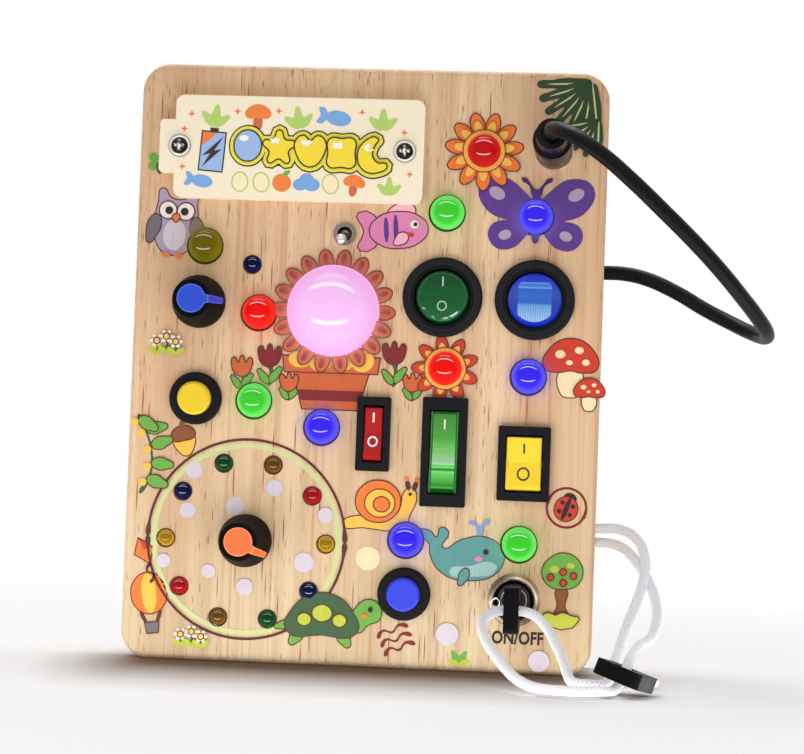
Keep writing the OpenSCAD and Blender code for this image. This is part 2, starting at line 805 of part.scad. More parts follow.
// A rectangular switch: frame on the face, body through the wood
module switch_housing(spot, frame, rocker, depth) {
  window = window_size(rocker);
  body = body_size(rocker);
  floor_z = pivot_z - rocker.y / 2 - rocker_gap;
  at(spot) difference() {
    union() {
      translate([0, 0, face_z]) plate(frame.x, frame.y, 0.6, frame_t);
      translate([0, 0, face_z - depth]) block(body.x, body.y, depth + eps);
    }
    translate([0, 0, floor_z]) block(window.x, window.y, face_z + frame_t - floor_z + 1);
    translate([0, 0, pivot_z]) crosswise(pin_d + 2 * run_gap, pin_hole_l(rocker.x));
  }
}

function pin_hole_l(w) = w + 2 * pin_l + 2 * rocker_gap;

// Side view of a rocker about its pivot: two slopes that meet in a shallow valley
module rocker_outline(r) {
  rise = r * tan(rocker_swing / 2);
  intersection() {
    circle(r);
    polygon([[-r, -2.6], [r, -2.6], [r, rocker_up + rise], [0, rocker_up], [-r, rocker_up + rise]]);
  }
}

rocker_up = 2.4;        // height of the valley above the pivot

// Turns a rocker to its resting side, with the upper end pressed in
module tipped(spot) {
  at(spot, pivot_z) rotate([-rocker_swing / 2, 0, 0]) children();
}

module rocker(spot, size) {
  stood()
    tipped(spot) {
      rotate([90, 0, 90]) linear_extrude(size.x, center = true) rocker_outline(size.y / 2);
      crosswise(pin_d, size.x + 2 * pin_l);
    }
}

module round_rocker(spot) {
  stood()
    tipped(spot) {
      intersection() {
        sphere(d = round_rocker_d);
        rotate([90, 0, 90]) linear_extrude(round_rocker_d + 2, center = true)
          rocker_outline(round_rocker_d / 2 + 1);
      }
      crosswise(pin_d, round_rocker_d + 2 * pin_l);
    }
}

module round_switch_housings() {
  floor_z = pivot_z - round_rocker_d / 2 - rocker_gap;
  stood() color("dimgray")
    for (s = [round_green_spot, round_blue_spot])
      at(s) difference() {
        union() {
          translate([0, 0, face_z]) cylinder(d = round_frame_d, h = frame_t - cap_edge);
          translate([0, 0, face_z + frame_t - cap_edge - eps])
            cylinder(d1 = round_frame_d, d2 = round_frame_d - 2 * cap_edge, h = cap_edge + eps);
          translate([0, 0, face_z - round_depth]) cylinder(d = round_body_d, h = round_depth + eps);
        }
        translate([0, 0, floor_z])
          cylinder(d = round_rocker_d + 2 * rocker_gap, h = face_z + frame_t - floor_z + 1);
        translate([0, 0, pivot_z])
          crosswise(pin_d + 2 * run_gap, pin_hole_l(round_rocker_d));
      }
}

module green_round_rocker() {
  color("darkgreen") round_rocker(round_green_spot);
}

module blue_round_rocker() {
  color("royalblue") round_rocker(round_blue_spot);
}

module red_switch_housing() {
  stood() color("dimgray") switch_housing(red_spot, red_frame, red_rocker_size, rocker_depth);
}

module red_rocker() {
  color("firebrick") rocker(red_spot, red_rocker_size);
}

module green_switch_housing() {
  stood() color("dimgray") switch_housing(green_spot, green_frame, green_rocker_size, long_depth);
}

module green_rocker() {
  color("limegreen") rocker(green_spot, green_rocker_size);
}

module yellow_switch_housing() {
  stood() color("dimgray")
    switch_housing(yellow_spot, yellow_frame, yellow_rocker_size, rocker_depth);
}

module yellow_rocker() {
  color("gold") rocker(yellow_spot, yellow_rocker_size);
}

// Terminals under the switches: three to a rocker switch and to the toggle, two to a button
terminal_t = 0.8;
slim_terminal_w = 3;
toggle_pin_w = 1.5;
toggle_pin_pitch = 4.7;
button_pin_w = 2;
button_pin_pitch = 5;

module terminals(spot, z, pitch, count, w) {
  for (k = [0:count - 1])
    at(spot + [0, (k - (count - 1) / 2) * pitch], z - terminal_l) block(w, terminal_t, terminal_l);
}

module switch_terminals() {
  stood() color("silver") {
    for (s = [round_green_spot, round_blue_spot])
      terminals(s, face_z - round_depth, terminal_pitch, 3, terminal_w);
    terminals(red_spot, face_z - rocker_depth, terminal_pitch, 3, slim_terminal_w);
    terminals(yellow_spot, face_z - rocker_depth, terminal_pitch, 3, terminal_w);
    terminals(green_spot, face_z - long_depth, long_pitch, 3, terminal_w);
    terminals(toggle_spot, inner_z - toggle_box_h, toggle_pin_pitch, 3, toggle_pin_w);
    for (s = [yellow_button_spot, blue_button_spot])
      terminals(s, face_z - button_depth, button_pin_pitch, 2, button_pin_w);
  }
}

// ---------- push buttons ----------
cap_deep = 8;           // how far a cap reaches below the face
spring_room = 4.5;      // height left for a pressed spring
stem_end = 0.5;
stem_hole = 3;
spring_wire = 0.6;
spring_gap = 0.05;
cap_edge = 0.6;         // width of the bevels on caps and rims
plunger_z = face_z - cap_deep;
guide_d = 4;
spring_d = 7.2;
nut_af = 14;
nut_t = 2.5;

module hex_nut(af, t, bore) {
  difference() {
    cylinder(d = af / cos(30), h = t, $fn = 6);
    translate([0, 0, -1]) cylinder(d = bore, h = t + 2);
  }
}

module button_housings() {
  stood() color("dimgray")
    for (s = [yellow_button_spot, blue_button_spot])
      at(s) difference() {
        union() {
          translate([0, 0, face_z]) cylinder(d = rim_d, h = rim_h - cap_edge);
          translate([0, 0, face_z + rim_h - cap_edge - eps])
            cylinder(d1 = rim_d, d2 = rim_d - 2 * cap_edge, h = cap_edge + eps);
          translate([0, 0, face_z - button_depth]) cylinder(d = barrel_d, h = button_depth + eps);
        }
        translate([0, 0, button_floor_z])
          cylinder(d = cap_d + 2 * run_gap, h = face_z + rim_h - button_floor_z + 1);
        translate([0, 0, button_floor_z - stem_hole])
          cylinder(d = guide_d + 2 * run_gap, h = stem_hole + 1);
      }
}

button_floor_z = plunger_z - spring_room - button_travel;

module push_button(spot) {
  top = face_z + rim_h + cap_up;
  stood()
    at(spot) {
      translate([0, 0, plunger_z]) cylinder(d = cap_d, h = top - cap_edge - plunger_z);
      translate([0, 0, top - cap_edge - eps])
        cylinder(d1 = cap_d, d2 = cap_d - 2 * cap_edge, h = cap_edge + eps);
      translate([0, 0, button_floor_z - stem_end])
        cylinder(d = guide_d, h = plunger_z - button_floor_z + stem_end + eps);
    }
}

module yellow_button() {
  color("gold") push_button(yellow_button_spot);
}

module blue_button() {
  color("mediumblue") push_button(blue_button_spot);
}

module button_spring(spot) {
  stood() color("silver")
    at(spot, button_floor_z + spring_gap)
      coil(spring_d, spring_wire, plunger_z - button_floor_z - 2 * spring_gap, 4);
}

module yellow_button_spring() {
  button_spring(yellow_button_spot);
}

module blue_button_spring() {
  button_spring(blue_button_spot);
}

// Nuts behind the face that hold the two buttons and the lock
module barrel_nuts() {
  stood() color("silver")
    for (s = [yellow_button_spot, blue_button_spot, lock_spot])
      at(s, inner_z - nut_t) hex_nut(nut_af, nut_t - snug, barrel_d + 2 * snug);
}

// ---------- knobs ----------
sleeve_up = 2.6;        // the sleeve's end above the face
knob_foot_z = face_z + 0.5;
knob_nut_af = 10.5;
knob_nut_t = 2;

module pot_housings() {
  stood() color("silver")
    for (s = [blue_knob_spot, orange_knob_spot])
      at(s) difference() {
        union() {
          translate([0, 0, inner_z - pot_h]) cylinder(d = pot_d, h = pot_h);
          translate([0, 0, inner_z - eps]) cylinder(d = sleeve_d, h = front_t + sleeve_up);
          translate([0, -pot_d / 2 + 1, inner_z - pot_h]) block(10, 6, 1.5);
        }
        translate([0, 0, inner_z - pot_h + 2])
          cylinder(d = shaft_d + 2 * run_gap, h = pot_h + front_t + sleeve_up);
      }
}

module panel_nuts() {
  stood() color("silver")
    for (s = [blue_knob_spot, orange_knob_spot])
      at(s, face_z + snug) hex_nut(knob_nut_af, knob_nut_t, sleeve_d + 2 * snug);
}

shaft_foot_z = inner_z - pot_h + 2 + 0.1;
shaft_top_z = face_z + knob_h - 3;

module knob_shaft(spot) {
  stood() color("silver")
    at(spot, shaft_foot_z) cylinder(d = shaft_d, h = shaft_top_z - shaft_foot_z);
}

module blue_knob_shaft() {
  knob_shaft(blue_knob_spot);
}

module orange_knob_shaft() {
  knob_shaft(orange_knob_spot);
}

knob_top_z = face_z + knob_h;
knob_body_h = knob_top_z - knob_foot_z;
cap_r = 4.1;            // radius of the coloured cap let into a knob
cap_proud = 0.3;        // how far the cap stands above the knob
cap_h = 1.5;            // full height of the cap
tongue_w = 3.4;         // width of the pointer's tongue at the cap
tongue_tip_w = 1.6;
tongue_t = 0.9;         // thickness of the tongue where it slopes
tongue_start = cap_r + 0.8;

// Top view of the tongue that runs from the cap down the knob's side
module tongue_outline(gap = 0) {
  root = tongue_w / 2 + gap;
  tip = tongue_tip_w / 2 + gap;
  polygon([[0, root], [0, -root], [pointer_r + gap, -tip], [pointer_r + gap, tip]]);
}

// Side view of the tongue's underside: outwards from the axis, heights from the cap's top
function underside(gap = 0) = [
  [0, -cap_h],
  [tongue_start - tongue_t - gap + (pointer_r - tongue_start) * cap_h / pointer_fall, -cap_h],
  [pointer_r - tongue_t - gap, -pointer_fall]
];

// Stands a side view up and gives it a width
module edgewise(w) {
  rotate([90, 0, 0]) linear_extrude(w, center = true) children();
}

// Room in a knob for its cap and tongue, and all that lies over them
module cap_room() {
  translate([0, 0, -cap_h]) cylinder(r = cap_r + snug, h = cap_h + 1);
  intersection() {
    edgewise(knob_d)
      polygon(concat(underside(snug), [[pointer_r + 1, -pointer_fall], [pointer_r + 1, 1], [0, 1]]));
    translate([0, 0, -pointer_fall]) linear_extrude(pointer_fall + 1) tongue_outline(snug);
  }
}

// A black knob: a skirt that narrows upwards, hollow over the nut, with a ridge under the tongue
module knob_body(spot, turn) {
  skirt_h = 3;
  stood() color("dimgray")
    at(spot, knob_foot_z) rotate(turn) difference() {
      union() {
        cylinder(d = knob_d, h = skirt_h);
        translate([0, 0, skirt_h - eps])
          cylinder(d1 = knob_d, d2 = knob_top_d, h = knob_body_h - skirt_h + eps);
        intersection() {
          cylinder(d = knob_d, h = knob_body_h);
          linear_extrude(knob_body_h) tongue_outline();
        }
      }
      translate([0, 0, -1]) cylinder(d = knob_nut_af / cos(30) + 1, h = knob_nut_t + sleeve_up);
      cylinder(d = shaft_d + 2 * snug, h = shaft_top_z - knob_foot_z + 0.1);
      translate([0, 0, knob_body_h + cap_proud]) cap_room();
    }
}

module knob_cap(spot, turn) {
  stood()
    at(spot, knob_top_z + cap_proud) rotate(turn) {
      translate([0, 0, -cap_h]) cylinder(r = cap_r, h = cap_h);
      intersection() {
        edgewise(knob_d)
          polygon(concat(underside(), [[pointer_r, -pointer_fall], [tongue_start, 0], [0, 0]]));
        translate([0, 0, -pointer_fall]) linear_extrude(pointer_fall) tongue_outline();
      }
    }
}

blue_turn = 0;
orange_turn = -28;

module blue_knob() {
  knob_body(blue_knob_spot, blue_turn);
}

module blue_knob_pointer() {
  color("dodgerblue") knob_cap(blue_knob_spot, blue_turn);
}

module orange_knob() {
  knob_body(orange_knob_spot, orange_turn);
}

module orange_knob_pointer() {
  color("coral") knob_cap(orange_knob_spot, orange_turn);
}

// ---------- lock and keys ----------
core_foot_z = face_z - lock_depth + 2;
core_top_z = face_z + lock_rim_h - 1.5;
keyway_gap = 0.05;

module lock_housing() {
  stood() color("silver")
    at(lock_spot) difference() {
      union() {
        translate([0, 0, face_z]) cylinder(d1 = rim_d, d2 = rim_d - 1.6, h = lock_rim_h);
        translate([0, 0, face_z - lock_depth]) cylinder(d = barrel_d, h = lock_depth + eps);
      }
      translate([0, 0, core_foot_z]) cylinder(d = core_d + 2 * run_gap, h = lock_depth + lock_rim_h);
      translate([0, 0, core_top_z - 0.6])
        cylinder(d1 = core_d + 2 * run_gap, d2 = rim_d - 3, h = face_z + lock_rim_h - core_top_z + 0.7);
    }
}

module lock_core() {
  stood() color("silver")
    at(lock_spot) difference() {
      translate([0, 0, core_foot_z + 0.1]) cylinder(d = core_d, h = core_top_z - core_foot_z - 0.1);
      translate([0, 0, core_top_z - key_seat - keyway_gap])
        block(blade_t + 2 * keyway_gap, blade_w + 2 * keyway_gap, key_seat + 1);
    }
}

key_seat = 17;          // how deep the blade goes into the core
head_foot_z = core_top_z - key_seat + key_l;

// Flat outline of a blade's cuts: y runs across, x towards the tip
module blade_outline() {
  difference() {
    translate([0, -blade_w / 2]) square([key_l, blade_w]);
    for (k = [1:4])
      translate([key_l - 3.4 * k + 1, blade_w / 2]) circle(d = 2.2, $fn = 4);
    translate([key_l, -blade_w / 2]) rotate(45) square(2, center = true);
  }
}

key_slot_in = 1.6;      // rim left beyond the slot in a head

// A key lies in the XY plane here: blade towards +X from 0, head towards -X
module blade_shape() {
  translate([0, 0, -blade_t / 2]) linear_extrude(blade_t) blade_outline();
}

module head_shape() {
  difference() {
    translate([-head_h / 2, -head_drop, -head_t / 2]) plate(head_h, head_w, 2.2, head_t);
    translate([-head_h + key_slot_in + key_slot_l / 2, -head_drop, -head_t])
      linear_extrude(2 * head_t) rounded(key_slot_l, key_slot_w, key_slot_w / 2 - eps);
  }
}

// Puts a key in the lock: blade down the core, slot across the board's width
module in_lock() {
  stood() at(lock_spot, head_foot_z) rotate([0, 90, 0]) children();
}

module key_blade() {
  color("silver") in_lock() translate([eps, 0, 0]) blade_shape();
}

module key_head() {
  color("dimgray") in_lock() head_shape();
}

ground_key_z = 4.8;

// Lays the spare key on the ground, its head propped on the cord
module on_ground() {
  translate([78, -63.3, ground_key_z]) rotate([0, 0, 72]) rotate([18, 8, 0]) children();
}

module spare_key_blade() {
  color("silver") on_ground() translate([eps, 0, 0]) blade_shape();
}

module spare_key_head() {
  color("dimgray") on_ground() head_shape();
}

// ---------- jack, cable and cord ----------
jack_body_d = 8;
jack_ring_t = 2;
jack_depth = 14;

module jack_socket() {
  stood() color("silver")
    at(jack_spot) difference() {
      union() {
        translate([0, 0, face_z]) cylinder(d = jack_ring_d, h = jack_ring_t);
        translate([0, 0, face_z - jack_depth]) cylinder(d = jack_body_d, h = jack_depth + eps);
        translate([0, 0, inner_z - 2]) cylinder(d = jack_ring_d, h = 2 - snug);
      }
      translate([0, 0, face_z - jack_depth + 1])
        cylinder(d = contact_d + 2 * run_gap, h = jack_depth + jack_ring_t);
    }
}

plug_foot_z = face_z + jack_ring_t + 0.3;

module plug_grip() {
  stood() color("dimgray")
    at(jack_spot, plug_foot_z) {
      difference() {
        cylinder(d = plug_d, h = plug_grip_l);
        translate([0, 0, -1]) cylinder(d = contact_d + 2 * snug, h = 4);
      }
      translate([0, 0, plug_grip_l - eps]) difference() {
        cylinder(d1 = plug_tail_d + 0.6, d2 = plug_tail_d, h = plug_tail_l);
        translate([0, 0, plug_tail_l - 1.5]) cylinder(d = cable_d + 1.6, h = 2);
      }
    }
}

module plug_contact() {
  stood() color("silver")
    at(jack_spot, plug_foot_z - contact_l) {
      translate([0, 0, 1]) cylinder(d = contact_d, h = contact_l - 1 + 2.9);
      cylinder(d1 = contact_d - 1.6, d2 = contact_d, h = 1 + eps);
    }
}

module patch_cable() {
  color("black") tube_along(cable_route, cable_d, 10);
}

module key_cord() {
  color("white") tube_along(cord_route, cord_d, 8, [0, 1, 0]);
}

// ---------- driver board and wiring ----------
pcb_z = back_t + standoff_h;
chip_size = [10, 6.5];
block_size = [10, 7.6];

module driver_board() {
  stood() color("darkgreen")
    at(pcb_spot) {
      translate([0, 0, pcb_z]) block(pcb_w, pcb_h, pcb_t);
      for (sx = [-1, 1], sy = [-1, 1])
        translate([sx * (pcb_w / 2 - 4), sy * (pcb_h / 2 - 4), back_t])
          cylinder(d = 5, h = standoff_h);
    }
}

chip_h = 3.4;
chip_pitch = 10;
drum_d = 5;             // round parts that stand on the circuit board
drum_h = 6;
drum_at = [9, -8];
speck_size = [1.6, 3.2];
speck_h = 0.8;
speck_y = 4;
speck_xs = [-11, -8, 8, 11];
block_in = 5;           // distance of the wire blocks from the circuit board's ends

module board_parts() {
  stood() color("black")
    at(pcb_spot, pcb_z + pcb_t) {
      for (y = [0, chip_pitch]) translate([0, y, 0]) block(chip_size.x, chip_size.y, chip_h);
      for (sx = [-1, 1]) translate([sx * drum_at.x, drum_at.y, 0]) cylinder(d = drum_d, h = drum_h);
      for (x = speck_xs) translate([x, speck_y, 0]) block(speck_size.x, speck_size.y, speck_h);
      for (sy = [-1, 1])
        translate([0, sy * (pcb_h / 2 - block_in), 0]) block(block_size.x, block_size.y, drum_h);
    }
}

wire_d = 1.4;

// A wire of straight runs with round corners
module wire(points) {
  for (i = [0:len(points) - 2]) {
    step = points[i + 1] - points[i];
    translate(points[i])
      rotate([0, acos(step.z / norm(step)), atan2(step.y, step.x)])
        cylinder(d = wire_d, h = norm(step), $fn = 24);
    if (i > 0) translate(points[i]) sphere(d = wire_d, $fn = 24);
  }
}

wire_apart = 2;         // half the distance between the two wires of a pair
wire_up = 3;            // height of the wires where they leave their block
wire_run = 12;
wire_drop = 6;
wire_reach = 30;

module wiring() {
  wire_z = back_t + wire_d / 2;
  board_top = pcb_z + pcb_t + wire_up;
  block_end = pcb_h / 2 - block_in + block_size.y / 2 + snug;
  stood() color("crimson") {
    for (dx = [-wire_apart, wire_apart]) {
      top = [pcb_spot.x + dx, pcb_spot.y + block_end, board_top];
      wire([top, top + [0, wire_run, 0], [top.x, top.y + wire_run, face_z - holder_d - snug]]);
      foot = [pcb_spot.x + dx, pcb_spot.y - block_end, board_top];
      far = foot.y - wire_drop + dx;
      wire([foot, [foot.x, far, board_top], [foot.x, far, wire_z], [foot.x + wire_reach, far, wire_z]]);
    }
  }
}

wooden_case();
back_plate();
back_screws();
battery_cover();
cover_screws();
battery_holder();
batteries();
battery_contacts();
red_lamps();
green_lamps();
blue_lamps();
yellow_lamp();
small_red_lamps();
small_yellow_lamps();
small_blue_lamps();
small_green_lamps();
small_orange_lamps();
dome_lens();
dome_lamp();
toggle_housing();
toggle_bushing();
toggle_lever();
round_switch_housings();
green_round_rocker();
blue_round_rocker();
red_switch_housing();
red_rocker();
green_switch_housing();
green_rocker();
yellow_switch_housing();
yellow_rocker();
switch_terminals();
button_housings();
yellow_button();
blue_button();
yellow_button_spring();
blue_button_spring();
barrel_nuts();
pot_housings();
panel_nuts();
blue_knob_shaft();
blue_knob();
blue_knob_pointer();
orange_knob_shaft();
orange_knob();
orange_knob_pointer();
lock_housing();
lock_core();
key_blade();
key_head();
jack_socket();
plug_grip();
plug_contact();
patch_cable();
key_cord();
spare_key_blade();
spare_key_head();
driver_board();
board_parts();
wiring();
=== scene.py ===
# %% [markdown]
# # A wooden busy board
# This lesson dresses a small wooden board full of switches, lamps and knobs. Here we give
# each of them a finish, add what is soft or printed, and light the scene. All sizes are in
# metres: X runs to the right, Z up, and the front face looks along -Y.

# %% Load the pieces
import math

import bpy
from mathutils import Matrix, Vector


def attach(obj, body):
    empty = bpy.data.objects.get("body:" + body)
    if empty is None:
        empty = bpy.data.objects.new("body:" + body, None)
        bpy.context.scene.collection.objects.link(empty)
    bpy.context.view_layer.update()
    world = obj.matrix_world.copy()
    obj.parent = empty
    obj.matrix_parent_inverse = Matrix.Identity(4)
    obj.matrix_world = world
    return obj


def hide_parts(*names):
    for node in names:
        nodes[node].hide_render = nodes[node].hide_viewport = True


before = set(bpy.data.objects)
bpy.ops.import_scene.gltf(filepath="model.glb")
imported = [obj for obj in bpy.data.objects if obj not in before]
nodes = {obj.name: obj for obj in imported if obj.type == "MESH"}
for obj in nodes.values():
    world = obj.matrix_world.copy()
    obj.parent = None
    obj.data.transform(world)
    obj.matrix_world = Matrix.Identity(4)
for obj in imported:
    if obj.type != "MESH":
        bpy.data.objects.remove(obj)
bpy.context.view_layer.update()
bpy.ops.object.select_all(action="DESELECT")
print("pieces loaded:", len(nodes))

# %% [markdown]
# Places on the face are easiest to read in millimetres from its middle, as (right, up).
# The face's own place comes from the wooden case: its front, and half of its height. What
# sits in the face is named here once, because finishes, prints and rims all follow it.

# %% Places on the face
MM = 0.001
case_corners = nodes["wooden_case"].bound_box
FACE_Y = round(min(corner[1] for corner in case_corners), 6)
HALF_H = round(max(corner[2] for corner in case_corners) / 2, 6)

COVER_SCREWS = ((-55.75, 62), (9.75, 62))
DOME = (-9.5, 15.5)
ROUND_GREEN, ROUND_BLUE = (22, 20.5), (48.5, 20.5)
RED_SWITCH, LONG_GREEN, YELLOW_SWITCH = (3.5, -19.5), (24, -24), (47, -26.5)
KEY_LOCK = (45.5, -65.5)
RED_LAMPS = ((32.5, 63), (-31, 14.5), (23.5, 0))
GREEN_LAMPS = ((22.5, 45), (-31.5, -11), (46.5, -49.5))
BLUE_LAMPS = ((48, 44.5), (-11.5, -18), (47.5, -1.5), (14, -49.5))
OLIVE_LAMPS = ((-47.5, 33.5),)
LONE_LAMP = (-33.5, 28.5)
print("the face lies at", FACE_Y, "and its middle is", HALF_H, "high")

# %% [markdown]
# ## The camera
# The photograph is taken from a little right of the board's middle, with a long lens, so
# the board's sides run almost parallel. The camera's place was worked out from the four
# corners of the face. A camera looks along its own -Z, so its axes go into one matrix.

# %% The camera
bpy.ops.object.camera_add()
camera = bpy.context.object
camera.name = "photo_camera"
camera.data.lens = 107.5
camera.data.sensor_width = 36
camera.data.clip_start = 0.01
camera_place = Vector((0.06857, -0.70579, 0.05713))
look = Vector((-0.08315, 0.9958, 0.03845)).normalized()
up = Vector((-0.03375, -0.04137, 0.99857)).normalized()
right = look.cross(up).normalized()
up = right.cross(look)
camera_turn = Matrix((right, up, -look)).transposed().to_4x4()
camera.matrix_world = Matrix.Translation(camera_place) @ camera_turn
bpy.context.scene.camera = camera
print("camera lens:", camera.data.lens, "mm")

# %% [markdown]
# ## The cable and the cord
# A black cable runs from the side of the case to the plug at the top right, and a white
# braided cord ties both keys to the case. Each is a smooth curve through a few points,
# thickened to a round tube. We turn the tube into a mesh and unroll it: U goes round it
# and V along it, in metres, so that a braid can follow every bend.

# %% A helper for tubes
def unroll(mesh, sides, width):
    """Gives a tube of rings a UV map from the order of its points."""
    layer = mesh.uv_layers[0] if mesh.uv_layers else mesh.uv_layers.new()
    layer.name = "unrolled"
    rows = len(mesh.vertices) // sides
    middle = []
    for row in range(rows):
        ring_points = [mesh.vertices[row * sides + k].co for k in range(sides)]
        middle.append(sum(ring_points, Vector()) / sides)
    along = [0.0]
    for a, b in zip(middle, middle[1:]):
        along.append(along[-1] + (b - a).length)
    for face in mesh.polygons:
        columns = [mesh.loops[i].vertex_index % sides for i in face.loop_indices]
        seam = max(columns) - min(columns) > sides / 2
        for i, column in zip(face.loop_indices, columns):
            row = min(mesh.loops[i].vertex_index // sides, rows - 1)
            u = column + (sides if seam and column < sides / 2 else 0)
            layer.data[i].uv = (u / sides * math.pi * width, along[row])


def tube(name, route, width, sides):
    """A round tube along a route in millimetres, with U round it and V along it."""
    bpy.ops.curve.primitive_nurbs_path_add()
    piece = bpy.context.object
    piece.name = name
    curve = piece.data
    curve.splines.clear()
    spline = curve.splines.new("BEZIER")
    spline.bezier_points.add(len(route) - 1)
    for knot, point in zip(spline.bezier_points, route):
        knot.co = Vector(point) * MM
        knot.handle_left_type = knot.handle_right_type = "AUTO"
    curve.resolution_u = 8
    curve.bevel_depth = width / 2
    curve.bevel_resolution = sides // 2 - 2
    curve.use_fill_caps = True
    bpy.ops.object.convert(target="MESH")
    unroll(piece.data, sides, width)
    bpy.ops.object.shade_smooth()
    return piece


def laid_line(name, route, width, stands_for):
    """A soft line that takes the place of a plain solid on the board."""
    piece = tube(name, route, width, 20)
    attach(piece, "board")
    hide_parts(stands_for)
    print(name, "mesh:", len(piece.data.polygons), "faces")
    return piece


# %% [markdown]
# The cable leaves the right side of the case, swings out wide, dips and climbs, and comes
# to the plug from in front. Its points follow the photograph, in millimetres from the
# middle of the board's foot.

# %% The black cable
CABLE_WIDTH = 0.0042
cable_route = [
    (58, 0, 117), (68, 0, 117), (74, -0.5, 116.8), (80, -2, 115.5), (89, -5, 111.5),
    (97.5, -8, 106.5), (105, -12, 102.5), (110.5, -18, 99.5), (113.5, -26, 98),
    (113.5, -35, 98.8), (110.5, -44, 102), (105.5, -52.5, 107), (99, -60, 113.5),
    (91.5, -66, 120.5), (83, -70.5, 128), (74.5, -73, 135.5), (66, -73, 142.5),
    (58.5, -70, 147.5), (53.5, -63, 150), (52.5, -53.8, 150),
]
cable = laid_line("black_cable", cable_route, CABLE_WIDTH, "patch_cable")

# %% [markdown]
# The cord comes out lower down, runs to the spare key on the floor, on through the head of
# the key in the lock, round a loop on the floor, and back into the case beside its start.

# %% The braided cord
CORD_WIDTH = 0.0028
cord_route = [
    (58, 0, 42), (68, 0, 42), (75, -1, 42), (80, -6, 39.5), (82.5, -13, 34),
    (82, -21, 28), (80, -29, 22), (77.5, -37, 16), (75.5, -45, 10), (73.5, -53, 5),
    (73, -58.4, 3), (71.6, -62.4, 2), (67.5, -64.6, 2), (63.6, -62.4, 2.2), (61.8, -57.6, 4.2),
    (60.6, -52.4, 7),
    (58.2, -46.4, 11.2), (55.3, -40.2, 15.3), (51.5, -36.2, 18.2), (47.8, -35, 19),
    (43.5, -35, 19), (40.2, -36.5, 18.2), (38, -41, 16.2), (38.8, -48.6, 12.5),
    (42.2, -57.5, 8.4), (45.6, -66, 5.4), (49.4, -75, 3.2), (55, -83, 2),
    (62, -87, 2), (69.5, -84, 2), (74.2, -78.4, 2), (76.6, -74, 5.6), (78.6, -69.6, 10.2),
    (80.5, -64, 12.6), (82.6, -56, 13.2), (85.2, -40, 15.8),
    (85.8, -27.5, 21), (84, -17.5, 27), (79.8, -9, 33.5),
    (74.5, -2.5, 37.4), (68, 0, 38), (58, 0, 38),
]
cord = laid_line("braided_cord", cord_route, CORD_WIDTH, "key_cord")

# %% [markdown]
# The length of each line is that of its route's straight steps.

# %% How long the two lines are
def route_length(route):
    """Length of a route of straight steps, in metres."""
    return sum((Vector(b) - Vector(a)).length for a, b in zip(route, route[1:])) * MM


print("cable", round(route_length(cable_route), 3), "m, cord", round(route_length(cord_route), 3), "m")

# %% [markdown]
# ## Finishes
# Every finish is a Principled shader in its own material. We want to write down finishes
# as short sums, so a few helpers come first. A socket knows the tree that it belongs to,
# and so a helper that is handed a socket can add its node beside it by itself.
# `tone` turns a colour as seen on a screen, 0 to 255, into the linear colour Blender uses.

# %% Helpers for nodes
def tone(red, green, blue):
    """A screen colour as a linear one."""
    def linear(v):
        v /= 255
        return v / 12.92 if v <= 0.04045 else ((v + 0.055) / 1.055) ** 2.4
    return (linear(red), linear(green), linear(blue), 1)


def plug(value, socket):
    """Links an output socket to an input, or writes a plain value on the input."""
    if isinstance(value, bpy.types.NodeSocket):
        socket.id_data.links.new(value, socket)
    else:
        socket.default_value = value


def add_node(tree, kind, inputs=None, **settings):
    """A node with its settings. inputs names or numbers its sockets and what they get."""
    node = tree.nodes.new(kind)
    for key, value in settings.items():
        setattr(node, key, value)
    for key, value in (inputs or {}).items():
        plug(value, node.inputs[key])
    return node


def tree_of(*values):
    """The node tree of the first socket among some sockets and plain values."""
    return next(v.id_data for v in values if isinstance(v, bpy.types.NodeSocket))


def object_coords(tree):
    return add_node(tree, "ShaderNodeTexCoord").outputs["Object"]


def parts_of(vector):
    """The X, Y and Z of a vector."""
    return tuple(add_node(vector.id_data, "ShaderNodeSeparateXYZ", {0: vector}).outputs)


def stretched(vector, scale, shift=(0, 0, 0)):
    inputs = {"Vector": vector, "Scale": scale, "Location": shift}
    return add_node(vector.id_data, "ShaderNodeMapping", inputs).outputs[0]


def noise(vector, scale, detail=3.0, rough=0.5):
    inputs = {"Vector": vector, "Scale": scale, "Detail": detail, "Roughness": rough}
    return add_node(vector.id_data, "ShaderNodeTexNoise", inputs).outputs["Fac"]


print("node helpers ready")

# %% [markdown]
# Sums are the next helpers. `over(minus(a, b), c)` reads as (a - b) / c, and `clamp` keeps
# a result between 0 and 1, which is what a share of a mixture has to be.

# %% Helpers for sums
def maths(operation, a, b=0.0, clamp=False):
    """A Math node: a and b are sockets or numbers."""
    node = add_node(tree_of(a, b), "ShaderNodeMath", {0: a, 1: b}, operation=operation, use_clamp=clamp)
    return node.outputs[0]


def plus(a, b, clamp=False):
    return maths("ADD", a, b, clamp)


def minus(a, b, clamp=False):
    return maths("SUBTRACT", a, b, clamp)


def times(a, b, clamp=False):
    return maths("MULTIPLY", a, b, clamp)


def over(a, b, clamp=False):
    return maths("DIVIDE", a, b, clamp)


def hypotenuse(a, b):
    return maths("SQRT", plus(maths("POWER", a, 2), maths("POWER", b, 2)))


def within(value, half, soft=0.15):
    """1 where value lies between -half and half, with a soft edge."""
    return over(minus(half, maths("ABSOLUTE", value)), soft, clamp=True)


def above(value, limit, gain):
    """0 up to the limit, then rising to 1."""
    return times(minus(value, limit), gain, clamp=True)


def folded(value, pitch):
    """A value that rises from 0 to 1 and falls again, over and over, once per two pitches."""
    return over(maths("PINGPONG", value, pitch), pitch)


print("sum helpers ready")

